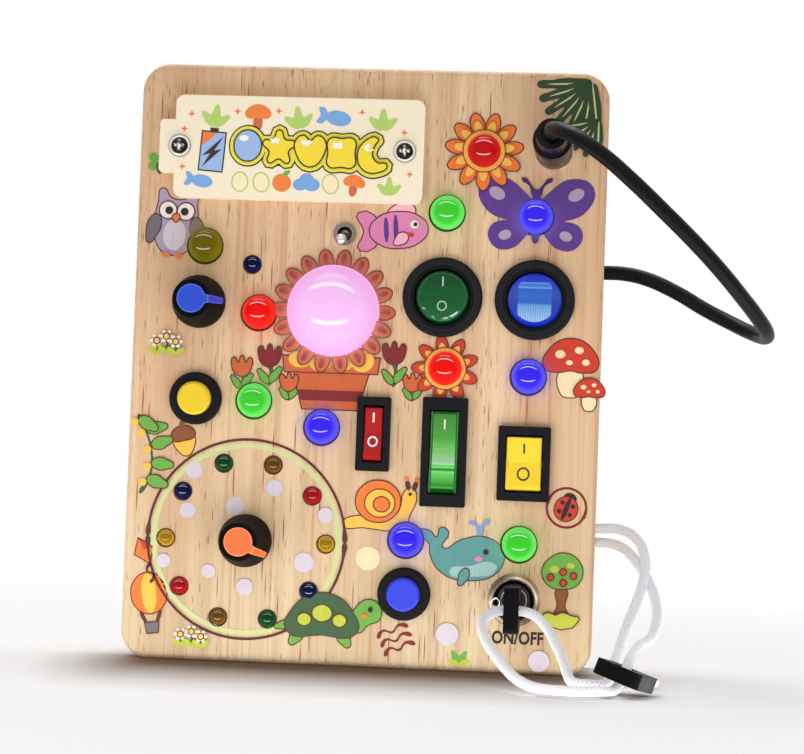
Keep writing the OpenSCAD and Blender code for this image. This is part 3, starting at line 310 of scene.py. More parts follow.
# %% [markdown]
# Colours, surfaces and whole finishes come last. `mixed` lays one colour over another, a
# ramp turns a number into a colour, and a group holds what several finishes share, such
# as the fine unevenness of moulded plastic. A group gives only values and colours, and the
# Principled shader itself stays in each material.

# %% Helpers for finishes
def mixed(share, a, b, blend="MIX"):
    """A Mix Color node: a and b are sockets or colours."""
    node = add_node(tree_of(share, a, b), "ShaderNodeMix", {0: share, 6: a, 7: b},
                    data_type="RGBA", blend_type=blend)
    return node.outputs[2]


def ramp(value, stops):
    """A colour ramp: stops are (place, colour)."""
    node = add_node(value.id_data, "ShaderNodeValToRGB", {"Fac": value})
    points = node.color_ramp.elements
    while len(points) < len(stops):
        points.new(0.5)
    for point, (place, colour) in zip(points, stops):
        point.position = place
        point.color = colour
    return node.outputs["Color"]


def ramp_over(value, low, high, stops):
    """A ramp over a range of a value: its stops' places are such values too."""
    share = over(minus(value, low), high - low, clamp=True)
    return ramp(share, [((at - low) / (high - low), tone(*rgb)) for at, rgb in stops])


def bumped(height, strength, distance, edge=0.0):
    """The normal of a bumped surface, over rounded edges if edge is given."""
    tree = height.id_data
    bump = add_node(tree, "ShaderNodeBump", {"Height": height, "Strength": strength, "Distance": distance})
    if edge:
        soft = add_node(tree, "ShaderNodeBevel", {"Radius": edge}, samples=4)
        plug(soft.outputs[0], bump.inputs["Normal"])
    return bump.outputs[0]


def new_group(name, inputs, outputs):
    """A node group. inputs and outputs are (name, kind, default)."""
    group = bpy.data.node_groups.new(name, "ShaderNodeTree")
    for side, sockets in (("INPUT", inputs), ("OUTPUT", outputs)):
        for label, kind, default in sockets:
            socket = group.interface.new_socket(label, in_out=side, socket_type=kind)
            if default is not None:
                socket.default_value = default
    return group, group.nodes.new("NodeGroupInput").outputs, group.nodes.new("NodeGroupOutput").inputs


def use_group(tree, group, inputs):
    return add_node(tree, "ShaderNodeGroup", inputs, node_tree=group).outputs


def shader_of(finish):
    return finish.node_tree.nodes["Principled BSDF"]


def feed(finish, inputs):
    """Sets or links sockets of a finish's shader, by their names."""
    for name, value in inputs.items():
        plug(value, shader_of(finish).inputs[name])


def new_finish(name, colour, rough, metal=0.0):
    """A material with one Principled shader, its constants set on the shader's sockets."""
    finish = bpy.data.materials.new(name)
    finish.use_nodes = True
    finish.diffuse_color = colour
    feed(finish, {"Base Color": colour, "Roughness": rough, "Metallic": metal})
    return finish


def wear(piece, finish):
    """Gives a piece, or a loaded node by its name, one finish."""
    piece = nodes[piece] if isinstance(piece, str) else piece
    piece.data.materials.clear()
    piece.data.materials.append(finish)


print("finish helpers ready")

# %% [markdown]
# ### Pine
# Sawn along the tree, pine shows fine fibres that all run one way, here up and down the
# board, with broad pale and dark bands between them. We stretch a few noises along Z. The
# short dark pores are cells of a stretched Voronoi pattern: each cell's middle makes one
# dash, and a broad noise lets the dashes crowd together in some streaks, as they really do.

# %% The pine grain group
pine_grain, grain_in, grain_out = new_group(
    "pine grain", [("Place", "NodeSocketVector", None)],
    [("Colour", "NodeSocketColor", None), ("Height", "NodeSocketFloat", None),
     ("Rough", "NodeSocketFloat", None)])


def streaks(across, along, seed, detail=2, rough=0.5):
    """Noise along the grain: about so many streaks a metre across it and along it."""
    return noise(stretched(grain_in["Place"], (across, across, along), (seed, seed, 0)), 1, detail, rough)


def dashes(across, along, size, seed):
    """Short marks along the grain, one in the middle of each stretched cell."""
    place = stretched(grain_in["Place"], (across, across, along), (seed, 0, seed))
    cells = add_node(pine_grain, "ShaderNodeTexVoronoi", {"Vector": place, "Scale": 1})
    return times(minus(1.0, over(cells.outputs["Distance"], size), clamp=True), 2, clamp=True)


bands = streaks(34, 1.2, 3.1)
fibre = streaks(1300, 34, 0.4, 2, 0.6)
crowd = above(streaks(85, 9, 5.3, 1), 0.40, 7)
pores = times(dashes(880, 105, 0.20, 0.3), crowd)
long_pores = times(dashes(760, 34, 0.2, 2.6), above(streaks(75, 3, 9.4, 1), 0.38, 7))
fine_pores = times(dashes(1500, 130, 0.24, 7.1), crowd)
colour = ramp(bands, [(0.34, tone(230, 197, 159)), (0.5, tone(222, 187, 148)), (0.66, tone(206, 166, 128))])
for share, darker in (
        (above(streaks(260, 7, 1.7, 3, 0.6), 0.42, 2.6), (203, 160, 121)),
        (times(above(fibre, 0.45, 3.5), 0.30), (196, 148, 112)),
        (times(above(streaks(520, 5, 8.2, 1), 0.60, 9), 0.42), (182, 112, 84)),
        (times(long_pores, 0.95), (150, 78, 54)),
        (times(fine_pores, 0.40), (126, 70, 50)),
        (times(pores, 0.62), (118, 58, 38))):
    colour = mixed(share, colour, tone(*darker))
plug(colour, grain_out["Colour"])
plug(minus(times(fibre, 0.4), pores), grain_out["Height"])
plug(plus(times(fibre, 0.15), 0.5), grain_out["Rough"])
print("pine grain:", len(pine_grain.nodes), "nodes")

# %% [markdown]
# The glow of the lit lamps on the wood round their feet is painted light: each lamp gets a
# soft painted spot of its colour, whose share falls from its rim to nothing a few millimetres out.
# Light thrown up by the white table is painted too: the case is a little cooler at its foot.

# %% Pine finishes
LAMP_RIM, DOME_RIM = 5.4, 13.4
PAINTED_GLOW_SHARE = 0.26
PAINTED_BOUNCE_HEIGHT = 0.085
painted_lamp_glow = [(tone(236, 110, 84), LAMP_RIM, 5.5, RED_LAMPS),
              (tone(150, 206, 96), LAMP_RIM, 5.0, GREEN_LAMPS),
              (tone(150, 118, 214), LAMP_RIM, 4.0, BLUE_LAMPS),
              (tone(206, 176, 70), LAMP_RIM, 5.0, OLIVE_LAMPS),
              (tone(250, 170, 164), DOME_RIM, 7.0, (DOME,))]


def add_painted_lamp_glow(colour):
    """Adds painted light, the soft coloured spots of glow round the lit lamps, to a colour."""
    tree = colour.id_data
    place = object_coords(tree)
    for tint, rim, reach, spots in painted_lamp_glow:
        for x, y in spots:
            middle = (x * MM, FACE_Y, y * MM + HALF_H)
            off = add_node(tree, "ShaderNodeVectorMath", {0: place, 1: middle}, operation="DISTANCE")
            fall = over(minus((rim + reach) * MM, off.outputs["Value"]), reach * MM, clamp=True)
            # Painted light: the lamp's glow laid on the wood as a soft spot of its colour.
            colour = mixed(times(maths("POWER", fall, 2), PAINTED_GLOW_SHARE), colour, tint)
    return colour


def pine(name, shift, lit=False):
    """Pine whose grain is shifted, so that no two boards are alike. lit is for the case: it adds painted
    light, a cooler foot and the lamps' glow.
    """
    finish = new_finish(name, tone(230, 192, 152), 0.5)
    tree = finish.node_tree
    grain = use_group(tree, pine_grain, {"Place": stretched(object_coords(tree), (1, 1, 1), shift)})
    colour = grain["Colour"]
    if lit:
        # Painted light: a cooler tint towards the foot stands for light thrown up by the table.
        height = parts_of(object_coords(tree))[2]
        low = over(minus(PAINTED_BOUNCE_HEIGHT, height), PAINTED_BOUNCE_HEIGHT, clamp=True)
        colour = mixed(times(low, 0.9), colour, mixed(1.0, colour, tone(234, 251, 255), "MULTIPLY"))
        colour = add_painted_lamp_glow(colour)
    feed(finish, {"Base Color": colour, "Roughness": grain["Rough"], "Specular IOR Level": 0.3,
                  "Normal": bumped(grain["Height"], 0.3, 0.0002)})
    return finish


wear("wooden_case", pine("case_pine", (0, 0, 0), lit=True))
wear("back_plate", pine("back_pine", (0.43, 0.2, 0.1)))
print("pine on the case and the back plate")

# %% [markdown]
# ### Plastics and metals
# The black switch frames are moulded with a fine satin grain. A Bevel node rounds their
# sharp edges in the shading, so that they catch the light as real moulded edges do. Metals
# get a faint unevenness in their polish, because a perfectly even metal looks painted.

# %% The satin group
satin, satin_in, satin_out = new_group(
    "satin grain", [("Place", "NodeSocketVector", None), ("Scale", "NodeSocketFloat", 2500.0)],
    [("Height", "NodeSocketFloat", None), ("Rough", "NodeSocketFloat", None)])
plug(noise(satin_in["Place"], satin_in["Scale"], 2), satin_out["Height"])
plug(times(noise(satin_in["Place"], 160), 0.3), satin_out["Rough"])


def moulded(name, rgb, rough, grain_size=2500.0, strength=0.12, edge=0.00025, metal=0.0, shine=0.4):
    """Moulded plastic or plated metal: a fine grain, uneven polish and rounded edges."""
    finish = new_finish(name, tone(*rgb), rough, metal)
    tree = finish.node_tree
    skin = use_group(tree, satin, {"Place": object_coords(tree), "Scale": grain_size})
    feed(finish, {"Roughness": plus(skin["Rough"], rough - 0.15), "Specular IOR Level": shine,
                  "Normal": bumped(skin["Height"], strength, 0.0001, edge)})
    return finish


def paint_edge_highlight(finish, rgb, light, radius, gain):
    """Paints a highlight on the bevelled edges of a finish, lighter where the rounded normal turns away."""
    tree = finish.node_tree
    soft = add_node(tree, "ShaderNodeBevel", {"Radius": radius}, samples=6).outputs[0]
    true = add_node(tree, "ShaderNodeNewGeometry").outputs["Normal"]
    same = add_node(tree, "ShaderNodeVectorMath", {0: soft, 1: true}, operation="DOT_PRODUCT")
    share = times(minus(1.0, same.outputs["Value"]), gain, clamp=True)
    feed(finish, {"Base Color": mixed(share, tone(*rgb), tone(*light))})


print("satin grain:", len(satin.nodes), "nodes")

# %% [markdown]
# Most pieces have one even finish. The plug's grip and the two pointers get painted highlights
# along their edges as fine pale lines, and steel, nickel and zinc differ in tint and in polish.

# %% Plastics and metals
black_gloss = moulded("black_gloss", (7, 7, 10), 0.30, strength=0.04, shine=0.12)
# Painted highlights: pale lines along the bevelled edges of the grip and the pointers.
paint_edge_highlight(black_gloss, (7, 7, 10), (58, 58, 70), 0.0004, 2)
pointer_blue = moulded("pointer_blue", (30, 80, 212), 0.42, strength=0.05)
paint_edge_highlight(pointer_blue, (24, 66, 196), (84, 124, 240), 0.0008, 7)
pointer_orange = moulded("pointer_orange", (252, 116, 58), 0.42, strength=0.05)
paint_edge_highlight(pointer_orange, (240, 102, 46), (255, 158, 104), 0.0008, 7)
chrome = moulded("chrome", (206, 202, 196), 0.18, strength=0.03, metal=1.0)

for finish, names in (
        (moulded("black_satin", (14, 13, 17), 0.5, shine=0.13),
         ["battery_holder", "red_switch_housing", "green_switch_housing", "yellow_switch_housing",
          "button_housings", "toggle_housing", "board_parts"]),
        (moulded("key_black", (8, 7, 10), 0.4, strength=0.04, edge=0.0006, shine=0.05),
         ["key_head", "spare_key_head"]),
        (moulded("knob_black", (7, 7, 7), 0.55, strength=0.1, shine=0.05), ["blue_knob", "orange_knob"]),
        (moulded("cable_black", (7, 7, 9), 0.4, 1800.0, strength=0.1, edge=0, shine=0.12), [cable]),
        (black_gloss, ["plug_grip"]), (pointer_blue, ["blue_knob_pointer"]),
        (pointer_orange, ["orange_knob_pointer"]),
        (moulded("yellow_cap", (224, 190, 24), 0.40, strength=0.05), ["yellow_button"]),
        (moulded("yellow_gloss", (246, 208, 40), 0.34, strength=0.03, edge=0.0007), ["yellow_rocker"]),
        (moulded("blue_cap", (34, 52, 206), 0.32, strength=0.04), ["blue_button"]),
        (moulded("red_gloss", (172, 28, 28), 0.3, strength=0.03, edge=0.0007, shine=0.15), ["red_rocker"]),
        (moulded("cover_cream", (248, 234, 206), 0.46, strength=0.05, shine=0.25), ["battery_cover"]),
        (chrome, ["toggle_lever", "key_blade", "spare_key_blade", "jack_socket", "plug_contact"]),
        (moulded("nickel", (120, 112, 108), 0.26, strength=0.05, metal=1.0), ["toggle_bushing"]),
        (moulded("zinc", (176, 176, 180), 0.36, strength=0.06, metal=1.0),
         ["back_screws", "barrel_nuts", "panel_nuts"]),
        (moulded("tin", (205, 205, 200), 0.4, strength=0.05, metal=1.0),
         ["battery_contacts", "switch_terminals", "yellow_button_spring", "blue_button_spring",
          "pot_housings", "blue_knob_shaft", "orange_knob_shaft"]),
        (moulded("white_moulded", (235, 235, 232), 0.5), ["dome_lamp"]),
        (moulded("circuit_green", (20, 96, 52), 0.35, strength=0.05), ["driver_board"]),
        (moulded("cell_jacket", (60, 96, 150), 0.3, strength=0.03), ["batteries"]),
        (moulded("wire_red", (190, 32, 30), 0.35, strength=0.03), ["wiring"])):
    for name in names:
        wear(name, finish)
print("plastics and metals on")

# %% [markdown]
# ### Finishes that change across a piece
# The round frames are dished: their inner ring lies in shade, which is painted into their colour
# inside a lighter ring. The cover's screws have a dark head in a bright washer, with painted
# glints in the cross, and the lock a dark face in a satin bezel, with painted reflections. Each of
# these is a ramp over the distance from the middle of the piece, in millimetres.

# %% Round switch frames
def face_place(tree, spot):
    """Millimetres to the right of a spot on the face, above it, and away from it."""
    x, _, z = parts_of(object_coords(tree))
    u = times(minus(x, spot[0] * MM), 1 / MM)
    v = times(minus(z, spot[1] * MM + HALF_H), 1 / MM)
    return u, v, hypotenuse(u, v)


frame_black = moulded("frame_black", (14, 13, 17), 0.5, shine=0.13)
tree = frame_black.node_tree
nearest = maths("MINIMUM", face_place(tree, ROUND_GREEN)[2], face_place(tree, ROUND_BLUE)[2])
# Painted shade: the dished inner ring is dark, with a lighter ring round it.
feed(frame_black, {"Base Color": ramp_over(nearest, 8.6, 10, [
    (8.6, (1, 1, 1)), (9.2, (3, 3, 4)), (9.45, (34, 32, 38)), (9.8, (22, 21, 26))])})
wear("round_switch_housings", frame_black)
print("round frames dished")

# %% [markdown]
# Painted glints, painted highlights, lie in a screw's cross only here and there, so a noise picks
# where. Both screws are one piece: each is painted round its own middle, and X tells them apart.

# %% Cover screws
SLOT_HALF_WIDTH, SLOT_HALF_LENGTH = 0.5, 1.6
BETWEEN_SCREWS = -30.0
screw_with_painted_glints = moulded("screw_with_painted_glints", (150, 145, 142), 0.22, strength=0.05, metal=1.0)
tree = screw_with_painted_glints.node_tree
colour = None
for spot in COVER_SCREWS:
    u, v, away = face_place(tree, spot)
    cross = maths("MAXIMUM", times(within(u, SLOT_HALF_WIDTH), within(v, SLOT_HALF_LENGTH)),
                  times(within(v, SLOT_HALF_WIDTH), within(u, SLOT_HALF_LENGTH)))
    # Painted highlights: white glints in the cross, where a noise lets them be.
    painted_glints = above(noise(object_coords(tree), 1900, 2), 0.42, 6)
    rings = ramp_over(away, 0, 4, [(0, (44, 38, 38)), (2.3, (40, 34, 34)), (2.5, (226, 222, 216)),
                                   (2.9, (214, 208, 202)), (3.1, (110, 102, 98)), (3.6, (168, 160, 152))])
    rings = mixed(times(cross, painted_glints), rings, tone(250, 248, 244))
    colour = rings if colour is None else mixed(maths("GREATER_THAN", u, BETWEEN_SCREWS), colour, rings)
feed(screw_with_painted_glints, {"Base Color": colour})
wear("cover_screws", screw_with_painted_glints)
print("cover screws dressed")

# %% [markdown]
# The lock's bezel is turned steel, and its reflection is painted: bright towards two opposite
# corners and dark towards the other two. u * v / away² is just such a value, as it swings from
# -1/2 to 1/2 and back twice on the way round. The thin bright rings on its face are painted
# highlights.

# %% The lock
BEZEL_FROM = 6.2
lock_metal = moulded("lock_metal", (170, 160, 148), 0.24, strength=0.05, metal=1.0)
u, v, away = face_place(lock_metal.node_tree, KEY_LOCK)
painted_reflection_sweep = plus(over(times(u, v), maths("POWER", away, 2)), 0.5)
bezel_painted_reflection = ramp(painted_reflection_sweep, [(0.05, tone(96, 88, 76)), (0.35, tone(170, 160, 142)), (0.65, tone(236, 230, 218)),
                     (0.95, tone(186, 176, 156))])
# Painted highlights: thin bright rings on the dark face of the lock.
inner = ramp_over(away, 0, 8, [
    (0, (84, 78, 76)), (3.4, (60, 54, 52)), (3.6, (196, 190, 182)), (3.9, (52, 46, 44)), (5.7, (84, 76, 72)),
    (5.95, (255, 252, 246)), (6.15, (120, 110, 98))])
feed(lock_metal, {"Base Color": mixed(maths("GREATER_THAN", away, BEZEL_FROM), inner, bezel_painted_reflection)})
wear("lock_housing", lock_metal)
wear("lock_core", lock_metal)
print("lock dressed")

# %% [markdown]
# ### The braid
# A braid's strands lie in chevrons. The cord's UV map is unrolled in metres, so a wave
# along it makes one strand after another, and a second wave round it pushes them to and
# fro into a zigzag. The same pattern gives the strands' height and painted shade in the
# grooves between them. A little light of its own keeps the cord white on its shaded side.

# %% The braided cord's finish
CHEVRON = CORD_WIDTH * math.pi / 6
STRAND = 0.0005
strand_white = tone(246, 246, 248)
braid = new_finish("white_braid", strand_white, 0.8)
unrolled = add_node(braid.node_tree, "ShaderNodeUVMap", uv_map="unrolled")
round_it, along_it, _ = parts_of(unrolled.outputs[0])
weave = folded(plus(along_it, maths("PINGPONG", round_it, CHEVRON)), STRAND)
# Painted shade: the grooves between the strands are darker.
feed(braid, {"Base Color": mixed(weave, tone(202, 200, 210), strand_white),
             "Normal": bumped(weave, 0.6, 0.0003),
             "Emission Color": (1, 1, 1, 1), "Emission Strength": 0.08})
wear(cord, braid)
print("cord braided")

# %% [markdown]
# ### Lamp lenses
# A lit lamp of coloured plastic is nearly even in colour, a little paler in a ring near its
# rim, and dark on its straight side. Thin bowed lines lie across it: painted reflections of
# the studio's lamps. We read the direction that each point faces, in the piece's own axes,
# and paint the glow and these reflections from that, so they stay put when the view turns.

# %% The lens group
lens_glow, glow_in, glow_out = new_group(
    "lens glow", [("Facing", "NodeSocketVector", None), ("Width", "NodeSocketFloat", 0.05)],
    [("Depth", "NodeSocketFloat", None), ("Painted arcs", "NodeSocketFloat", None)])
to_right, to_back, to_top = parts_of(glow_in["Facing"])
depth = times(to_back, -1, clamp=True)
plug(depth, glow_out["Depth"])


def painted_arc(bend, middle, reach):
    """A thin bowed painted reflection across the lens: 1 on it, 0 beside it and past its ends."""
    bowed = plus(to_top, times(maths("POWER", to_right, 2), bend))
    off = maths("ABSOLUTE", minus(bowed, middle))
    return times(minus(1.4, over(off, glow_in["Width"]), clamp=True), within(to_right, reach, 0.12))


faint_painted_arc = times(painted_arc(0.6, 0.73, 0.36), 0.35)
painted_arcs = maths("MAXIMUM", maths("MAXIMUM", painted_arc(0.6, 0.54, 0.52), painted_arc(-0.5, -0.30, 0.45)), faint_painted_arc)
plug(times(painted_arcs, maths("GREATER_THAN", depth, 0.3)), glow_out["Painted arcs"])
print("lens glow:", len(lens_glow.nodes), "nodes")

# %% [markdown]
# Each kind of lamp has its own three colours, how much light it gives, and how strongly
# the painted reflections show. Of the small lamps, only the red and the yellow ones glow, and the
# red lamp at the top is dimmer than the other two large red ones.

# %% The lenses
DIM_ABOVE, DIM_SHARE = 0.12, 0.42


def lens(name, side, ring, middle, light, painted_arc_share, width=0.03, rough=0.15, dimmed=False):
    """Coloured lens: the colours of its side, of the ring near its rim and of its middle.
    If it is dimmed, lamps above DIM_ABOVE glow less than the others of their group."""
    finish = new_finish(name, tone(*middle), rough)
    tree = finish.node_tree
    facing = add_node(tree, "ShaderNodeTexCoord").outputs["Normal"]
    glow = use_group(tree, lens_glow, {"Facing": facing, "Width": width})
    colour = ramp(glow["Depth"], [(0.0, tone(*side)), (0.08, tone(*side)), (0.2, tone(*ring)),
                                  (0.55, tone(*ring)), (0.80, tone(*middle)), (1.0, tone(*middle))])
    if dimmed:
        high = maths("GREATER_THAN", parts_of(object_coords(tree))[2], DIM_ABOVE)
        colour = mixed(times(high, DIM_SHARE), colour, tone(60, 16, 20))
    # Painted reflections: the bowed lines mix the colour towards white.
    shine = mixed(times(glow["Painted arcs"], painted_arc_share), colour, (1, 1, 1, 1))
    feed(finish, {"Base Color": mixed(light, shine, tone(2, 2, 2)), "Emission Color": shine,
                  "Emission Strength": light, "Specular IOR Level": 0.05})
    return finish


for name, slot_name, side, ring, middle, light, painted_arc_share in (
        ("red_lamps", "red_lens", (120, 8, 10), (255, 44, 32), (240, 16, 12), 0.75, 0.65),
        ("green_lamps", "green_lens", (14, 92, 20), (104, 236, 96), (62, 204, 48), 0.75, 0.7),
        ("blue_lamps", "blue_lens", (34, 20, 150), (88, 84, 255), (58, 38, 240), 0.80, 0.6),
        ("yellow_lamp", "olive_lens", (70, 60, 4), (124, 116, 10), (104, 92, 2), 0.30, 0.6),
        ("small_red_lamps", "small_red_lens", (60, 4, 8), (200, 20, 24), (150, 12, 16), 0.45, 0.5),
        ("small_yellow_lamps", "small_yellow_lens", (80, 56, 4), (206, 158, 20), (150, 112, 8), 0.45, 0.5),
        ("small_blue_lamps", "small_blue_lens", (6, 6, 26), (18, 26, 84), (8, 12, 48), 0.10, 0.6),
        ("small_green_lamps", "small_green_lens", (4, 34, 12), (16, 88, 36), (6, 58, 20), 0.10, 0.5),
        ("small_orange_lamps", "small_orange_lens", (50, 30, 6), (132, 90, 26), (92, 58, 10), 0.10, 0.5)):
    wear(name, lens(slot_name, side, ring, middle, light, painted_arc_share, dimmed=name == "red_lamps"))
wear("dome_lens", lens("pink_dome", (248, 160, 214), (252, 186, 246), (252, 196, 250), 0.72, 0.75, 0.05, 0.3))
print("lamp lenses on")

# %% [markdown]
# ### Translucent rockers
# Three rockers are of clear coloured plastic over a ribbed reflector. What shows through is
# painted by place: a fine grid of prisms and pale bands where the switch's own light gathers.
# Thin bright lines on them are painted highlights, and their dark sides and ends are painted
# shade. The colours change with the height above the rocker's middle, in millimetres.

# %% The long green rocker
WHITE = tone(255, 255, 255)


def prisms(u, v, pitch):
    """A fine grid of little prisms: bright in each middle, dark between them."""
    return over(maths("MINIMUM", maths("PINGPONG", u, pitch / 2), maths("PINGPONG", v, pitch / 2)),
                pitch / 2, clamp=True)


def clear_plastic(name, spot):
    finish = moulded(name, (40, 120, 60), 0.22, strength=0.02, edge=0.0006, shine=0.12)
    return finish, *face_place(finish.node_tree, spot)


def lit_by(finish, colour, light):
    feed(finish, {"Base Color": mixed(light, colour, tone(6, 6, 6)), "Emission Color": colour,
                  "Emission Strength": light})


long_green, u, v, _ = clear_plastic("long_green", LONG_GREEN)
# The thin bright lines are painted highlights and the dark bottom end is painted shade; the pale bands are
# the switch's own light.
core_with_painted_highlights = ramp_over(v, -12, 12, [
    (-12, (10, 60, 12)), (-10.5, (16, 84, 18)), (-10.2, (78, 182, 76)), (-9.5, (40, 132, 40)),
    (-9.1, (58, 158, 56)), (-6.0, (108, 212, 98)), (-5.6, (138, 228, 128)), (-5.2, (36, 140, 40)),
    (-4.7, (40, 146, 44)), (-4.4, (146, 234, 140)), (-4.0, (84, 196, 78)), (-3.0, (196, 244, 196)),
    (-1.4, (176, 236, 172)), (0.6, (140, 226, 122)), (4, (98, 190, 80)), (10.6, (84, 162, 70)),
    (11.2, (24, 92, 26))])
core_with_painted_highlights = mixed(times(maths("GREATER_THAN", v, -3.2), 0.8), core_with_painted_highlights,
             mixed(prisms(u, v, 0.65), tone(150, 168, 150), WHITE), "MULTIPLY")
# A thin painted highlight runs along each side; the sides beyond it are painted shade.
painted_side_highlight = within(minus(maths("ABSOLUTE", u), 3.7), 0.18)
sides = mixed(times(painted_side_highlight, 0.5), tone(16, 84, 22), tone(120, 190, 124))
lit_by(long_green, mixed(within(u, 3.35), sides, core_with_painted_highlights), 0.5)
wear("green_rocker", long_green)
print("long rocker painted")

# %% [markdown]
# The two round rockers reach under their frames, where nothing shines through and the frames'
# shade falls, so they are painted dark beyond the frames' opening. The green one carries a pale
# rim line with glints low on its disc, painted highlights, and the blue one a window of fine
# upright ribs crossed by thin bright lines of painted highlight.

# %% The round rockers
OPENING = 7.9
# Painted shade: the rockers are dark where they reach under the frames.
under_frame_painted_shade = tone(8, 8, 12)

round_green, u, v, away = clear_plastic("round_green", ROUND_GREEN)
disc = ramp_over(v, -7, 7, [(-7, (44, 138, 76)), (-2, (26, 116, 60)), (6, (14, 88, 42))])
disc = mixed(0.9, disc, mixed(prisms(u, v, 0.6), tone(140, 160, 146), WHITE), "MULTIPLY")
# Painted highlights: glints low on the green disc and a pale line round its rim.
painted_sparkle = above(noise(object_coords(round_green.node_tree), 420, 2), 0.46, 9)
painted_glint = times(within(minus(away, 6.2), 0.4, 0.3), times(maths("LESS_THAN", v, -3.2), painted_sparkle))
# The side wall beyond the green disc is painted shade.
green_look = mixed(maths("LESS_THAN", away, 6.9), tone(8, 62, 30), disc)
green_look = mixed(times(within(minus(away, 6.9), 0.12), 0.35), green_look, tone(130, 190, 150))
green_look = mixed(times(painted_glint, 0.9), green_look, tone(240, 250, 240))
# A faint glow is painted on the green rocker, though its own lamp is off.
lit_by(round_green, mixed(maths("GREATER_THAN", away, OPENING), green_look, under_frame_painted_shade), 0.15)
wear("green_round_rocker", round_green)

round_blue, u, v, away = clear_plastic("round_blue", ROUND_BLUE)
# Thin bright lines across the blue window are painted highlights.
pane_with_painted_highlights = ramp_over(v, -7, 7, [
    (-7, (186, 220, 255)), (-4.6, (160, 208, 250)), (-1.5, (116, 176, 238)), (-1.0, (62, 116, 208)),
    (3.2, (52, 100, 200)), (3.5, (130, 184, 244)), (3.9, (66, 118, 214)), (4.6, (78, 130, 220)),
    (4.9, (112, 166, 236)), (5.2, (34, 66, 176))])
pane_with_painted_highlights = mixed(times(folded(u, 0.35), 0.45), pane_with_painted_highlights, tone(34, 78, 176))
pane_share = times(times(within(u, 4.9), within(away, 6.5)), maths("LESS_THAN", v, 5.2))
around = ramp_over(v, -8, 8, [(-8, (14, 38, 170)), (-5, (30, 62, 196)), (2, (58, 78, 168)),
                              (6.5, (36, 52, 190)), (8, (20, 30, 120))])
blue_look = mixed(pane_share, around, pane_with_painted_highlights)
lit_by(round_blue, mixed(maths("GREATER_THAN", away, OPENING), blue_look, under_frame_painted_shade), 0.3)
wear("blue_round_rocker", round_blue)
print("round rockers painted")

# %% [markdown]
# ## Printed pictures
# The face is printed with flat, friendly pictures, each with a brown outline. Ink on pine
# lets the grain show through a little, and ink on the smooth cover has the cover's own
# fine grain. So each tone is made once for the wood and once for the cover.

# %% Inks
ink_tones = {
    "brown": (92, 46, 42), "orange": (240, 128, 56), "yellow": (248, 200, 84), "cream": (250, 232, 190),
    "leaf_green": (62, 98, 66), "fern_green": (40, 70, 40), "green": (110, 178, 74), "lime": (190, 206, 70),
    "purple": (94, 60, 150), "deep_purple": (66, 38, 112), "lavender": (180, 164, 196),
    "pale_lavender": (214, 210, 226), "pink": (226, 138, 190), "light_pink": (246, 190, 214),
    "terracotta": (206, 104, 58), "dark_red": (128, 36, 42), "teal": (92, 160, 162),
    "pale_teal": (160, 206, 204), "red": (208, 62, 42), "sky": (120, 168, 220), "grey": (118, 112, 120),
    "white": (246, 242, 236), "pale_green": (208, 220, 160), "black": (44, 30, 28), "trunk": (140, 84, 50),
    "halo": (238, 226, 66), "halo_deep": (246, 216, 52), "cover_blue": (156, 184, 226),
    "pale_leaf": (178, 208, 106)}


def wood_ink(name, rgb):
    """Ink on pine, with the grain and the lamps' painted glow showing through."""
    finish = new_finish("ink_" + name, tone(*rgb), 0.5)
    grain = use_group(finish.node_tree, pine_grain, {"Place": object_coords(finish.node_tree)})
    seen = mixed(0.3, tone(*rgb), grain["Colour"], "MULTIPLY")
    feed(finish, {"Base Color": add_painted_lamp_glow(seen), "Specular IOR Level": 0.3, "Roughness": grain["Rough"]})
    return finish


def cover_ink(name, rgb):
    """Ink on the smooth cover, with the cover's own fine grain."""
    return moulded("cover_ink_" + name, rgb, 0.42, strength=0.05, edge=0)


inks = {"wood": {name: wood_ink(name, rgb) for name, rgb in ink_tones.items()},
        "cover": {name: cover_ink(name, rgb) for name, rgb in ink_tones.items()}}
print("inks:", len(ink_tones))

# %% [markdown]
# A picture is a stack of flat shapes: a smooth closed curve, filled, and under it the same
# curve grown by a third of a millimetre in brown. Each shape lies a hair above the one
# before it, so that no two share a plane. These helpers give the points of the shapes.

# %% Points of flat shapes
def turned(points, x, y, turn):
    """Points turned by so many degrees and moved to (x, y)."""
    c, s = math.cos(math.radians(turn)), math.sin(math.radians(turn))
    return [(x + c * u - s * v, y + s * u + c * v) for u, v in points]


def oval(x, y, wide, high, turn=0, count=8):
    """Points of an oval with half-widths wide and high."""
    steps = [2 * math.pi * k / count for k in range(count)]
    return turned([(wide * math.cos(a), high * math.sin(a)) for a in steps], x, y, turn)


def leaf(x, y, length, width, turn):
    """Points of a leaf that grows from (x, y)."""
    half = [(0.3, 0.5), (0.7, 0.38)]
    shape = [(0, 0), *half, (1, 0)] + [(u, -v) for u, v in half[::-1]]
    return turned([(u * length, v * width) for u, v in shape], x, y, turn)


def stroke(points, width):
    """Outline of a line of even width, with tapered ends."""
    left_side, right_side = [], []
    for k, point in enumerate(points):
        a = Vector(points[max(k - 1, 0)])
        b = Vector(points[min(k + 1, len(points) - 1)])
        along = (b - a).normalized()
        across = Vector((-along.y, along.x)) * width / 2
        left_side.append(tuple(Vector(point) + across))
        right_side.append(tuple(Vector(point) - across))
    return left_side + right_side[::-1]


def dot(x, y, size, ink):
    """A round filled part of a picture."""
    return ("f", oval(x, y, size, size), ink)


def line(points, width, ink):
    """A drawn line as a part of a picture."""
    return ("f", stroke(points, width), ink)


def ring_of(count, radius, wide, high, start=0):
    """Ovals set around a circle, long side outwards."""
    turns = [start + 360 * k / count for k in range(count)]
    return [oval(radius * math.cos(math.radians(a)), radius * math.sin(math.radians(a)), wide, high, a)
            for a in turns]


